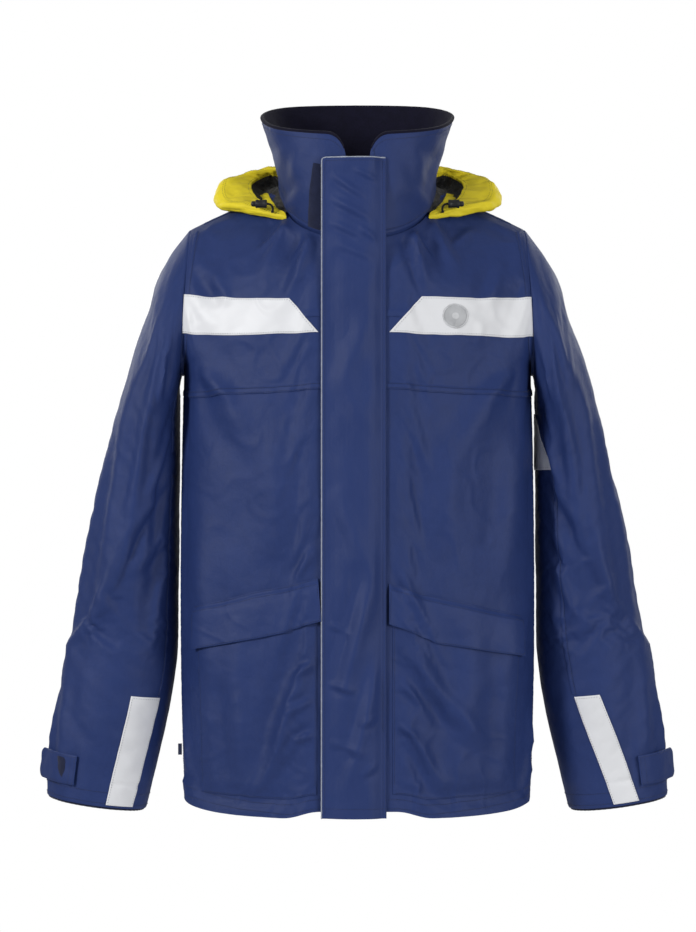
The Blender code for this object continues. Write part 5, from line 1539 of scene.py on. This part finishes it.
def sleeve_seams(side, tag):
    """Hem stitches round the cuff, the front seam from the underarm down to the band, and the back seam."""
    cloth = SLEEVES[side]
    runs = [run_on(cloth, np.linspace(0, 2 * math.pi, 200), w, 0.3 * MM, side) for w in (0.612, 0.6255)]
    w = np.linspace(0.212, 0.488, 190)
    angle = np.radians(np.interp(w, [0.207, 0.30, 0.40, BAND_START], SEAM_ANGLES[side]))
    runs.append(run_on(cloth, angle - 0.045, w, 1.0 * MM, side))
    bent_at_elbow(stitches("sleeve_stitches_" + tag, runs, THREAD), "shell", side, tag)
    bent_at_elbow(ribbon("sleeve_front_seam_" + tag, cloth, angle, w, (1, 0), 3.0, 0.75, side, 0.3),
                  "shell", side, tag)
    w = np.linspace(0.004, 0.186, 150)[6:]
    angle = np.radians(np.interp(w, [0.0, 0.12, 0.207], TOP_SEAM_ANGLES[side]))
    bent(ribbon("sleeve_top_seam_" + tag, cloth, angle, w, (1, 0), 3.0, 0.75, side, 0.3), "shell", "jacket",
         "upper_sleeve_" + tag, *at_shoulder(side))
    w = np.linspace(0.195, 0.622, 300)
    bent_at_elbow(ribbon("sleeve_back_seam_" + tag, cloth, math.radians(-118.0), w, (1, 0), 3.0, 0.75,
                         side, 0.3),
                  "shell", side, tag)


def cuff_strap(side, tag):
    cloth, turn = SLEEVES[side], (side, 1, 1)
    v = TAB_PLACE[0] + rimmed(16, 0.037)[:, None] * (TAB_PLACE[1] - TAB_PLACE[0])
    angles = np.radians(np.interp(np.linspace(0, 1, 34), np.linspace(0, 1, 5), TAB_ANGLES))
    angles, rows = np.broadcast_arrays(angles, v)
    base, normal = cloth.surface.point(angles, rows), cloth.surface.normal(angles, rows)
    # past its last angle the strap runs on straight, and its end rounds off
    way = base[:, -1] - base[:, -2]
    way /= np.linalg.norm(way, axis=-1, keepdims=True)
    grown = []
    for reach in np.linspace(0.0008, 0.0262, 30):
        pinch = min(max(0.0, (reach - 0.0182) / 0.008), 1.0)
        row = base[:, -1] + way * reach
        grown.append(row.mean(0) + (row - row.mean(0)) * (1 - (1 - math.sqrt(1 - pinch**2)) * 0.62))
    base = np.concatenate([base, np.array(grown).transpose(1, 0, 2)], 1)
    normal = np.concatenate([normal, np.repeat(normal[:, -1:], len(grown), 1)], 1)
    run = np.concatenate([[0], np.linalg.norm(np.diff(base[8], axis=0), axis=1).cumsum()])
    bulge = (0.8 * MM * NOISE[3].at(run[None, :] + side, rows[:, :1] + 0 * run, 0.018)
             + 0.9 * MM * step_up(run / 0.02))
    low, high = rounded(bulge, 2.2 * MM + bulge, 4.0 * MM + bulge)
    outer, inner, face = ((base + normal * out[..., None]) * turn for out in (high, low, 4.0 * MM + bulge))
    out = normal * turn
    runs = [(face[row, 1:-6], out[row, 1:-6]) for row in (2, -3)]
    runs += [(face[1:-1, column], out[1:-1, column]) for column in (2, 9, -9)]
    start, end = (base[:, column].mean(0) * turn - ORIGIN for column in (0, 9))
    bent(solid("cuff_strap_" + tag, outer, inner, FLAP_CLOTH), "shell", "forearm_" + tag,
         "cuff_tab_" + tag, start, end, ["cuff_tab_" + tag])
    bent(stitches("cuff_strap_stitches_" + tag, runs, THREAD, 2.8 * MM, 2.0 * MM, 0.32 * MM), "shell",
         "forearm_" + tag, "cuff_tab_" + tag, start, end)
    a, v = np.meshgrid(np.radians(54 - 64 * rimmed(40, 0.07)),
                       TAB_PLACE[0] + 0.004 + rimmed(16, 0.029) * 0.029)
    joined(layer("cuff_loops_" + tag, cloth, a, v, 0.2 * MM, 1.7 * MM, LOOPS, side), "forearm_" + tag,
           ["cuff_loop_patch_" + tag])


for side, tag in SIDES:
    sleeve(side, tag)
    forearm_band(side, tag)
    sleeve_seams(side, tag)
    cuff_strap(side, tag)

# The underarm band widens towards the elbow.
ARMBAND_START, ARMBAND_LONG, ARMBAND_ANGLE, ARMBAND_WIDE = 0.120, 0.087, 178.0, 48.0
v = ARMBAND_START + rimmed(50, ARMBAND_LONG)[:, None] * ARMBAND_LONG
share = (v - ARMBAND_START) / ARMBAND_LONG
wide = np.where(share < 0.01, 1.0, ARMBAND_WIDE * share)
a = np.radians(ARMBAND_ANGLE - wide * rimmed(24, 0.04)[None, :])
armband = layer("underarm_tape", SLEEVES[1], a, v + 0 * a, 0.2 * MM, 1.8 * MM, BAND)
w = np.linspace(0.126, 0.203, 70)
edge = np.radians(ARMBAND_ANGLE + 1.6 - ARMBAND_WIDE * (w - ARMBAND_START) / ARMBAND_LONG)
runs = [run_on(SLEEVES[1], edge, w, 1.8 * MM),
        run_on(SLEEVES[1], np.radians(np.linspace(133, 176, 40)), 0.2045, 1.8 * MM)]
bent(armband, "reflective", "jacket", "upper_sleeve_R", *at_shoulder(1), ["underarm_band"])
bent(stitches("underarm_tape_stitches", runs, PALE_THREAD), "reflective", "jacket", "upper_sleeve_R",
     *at_shoulder(1))

# a small folded label in the side seam
turn = np.linspace(0, math.pi, 9)
x, z = np.meshgrid(-0.2205 - 0.0048 * np.sin(turn), 0.0800 + rimmed(8, 0.014) * 0.014)
y = -0.0355 + 0.0009 * np.cos(turn) + 0 * x
outer, inner = np.stack([x, y, z], -1), np.stack([x * 0.985 - 0.0033, (y - 0.0355) / 2, z], -1)
joined(solid("seam_label", outer, inner, LABEL), "jacket", ["side_label"])


# ---------------------------------------------------------------- camera, light and floor

scene = bpy.context.scene
camera = bpy.data.objects.new("camera", bpy.data.cameras.new("camera"))
camera.data.lens, camera.data.sensor_width = 100.4, 36.0
camera.location, camera.rotation_euler = (-0.0119, -3.37, -0.3875), (math.radians(90), 0, 0)
scene.collection.objects.link(camera)
scene.camera = camera
scene.view_settings.view_transform = "Standard"

# each light's place, size and power
AIM = Vector((0.0, -0.07, -0.40))
LIGHTS = {
    "key": ((-2.1, -1.8, 0.5), 0.7, 41),
    "fill": ((1.8, -2.2, -0.1), 1.5, 31),
    "top": ((0.0, -0.3, 2.2), 1.8, 3),
    "back_left": ((-1.6, 1.9, 0.6), 1.6, 14), "back_right": ((1.6, 1.9, 0.6), 1.6, 14),
}
for name, (place, size, power) in LIGHTS.items():
    data = bpy.data.lights.new(name, "AREA")
    data.shape, data.size, data.energy = "DISK", size, power
    light = bpy.data.objects.new(name, data)
    light.location, light.rotation_mode = place, "QUATERNION"
    light.rotation_quaternion = (AIM - Vector(place)).to_track_quat("-Z", "Y")
    scene.collection.objects.link(light)

# The camera sees white, and the jacket is lit by a much dimmer sky.
scene.world = bpy.data.worlds.new("studio")
scene.world.use_nodes = True
nodes, links = scene.world.node_tree.nodes, scene.world.node_tree.links
sky, seen = nodes["Background"], nodes.new("ShaderNodeBackground")
for background, strength in ((sky, 0.29), (seen, 1.0)):
    background.inputs["Color"].default_value = (1, 1, 1, 1)
    background.inputs["Strength"].default_value = strength
path, mix = nodes.new("ShaderNodeLightPath"), nodes.new("ShaderNodeMixShader")
links.new(path.outputs["Is Camera Ray"], mix.inputs["Fac"])
links.new(sky.outputs["Background"], mix.inputs[1])
links.new(seen.outputs["Background"], mix.inputs[2])
links.new(mix.outputs["Shader"], nodes["World Output"].inputs["Surface"])

FLOOR_RADIUS, FLOOR_Z = 0.70, -1.12
turn = np.linspace(0, 2 * math.pi, 96, endpoint=False)
rings = [[(r * math.cos(t), r * math.sin(t) + ORIGIN[1], FLOOR_Z + ORIGIN[2] + h) for t in turn]
         for r, h in ((FLOOR_RADIUS, -0.012), (FLOOR_RADIUS, -0.004), (FLOOR_RADIUS - 0.004, 0.0),
                      (0.02, 0.0))]
outline("floor", rings, Look("floor_plaster", (0.84, 0.84, 0.84), 0.7).made, 60)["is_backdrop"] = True

low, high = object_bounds()
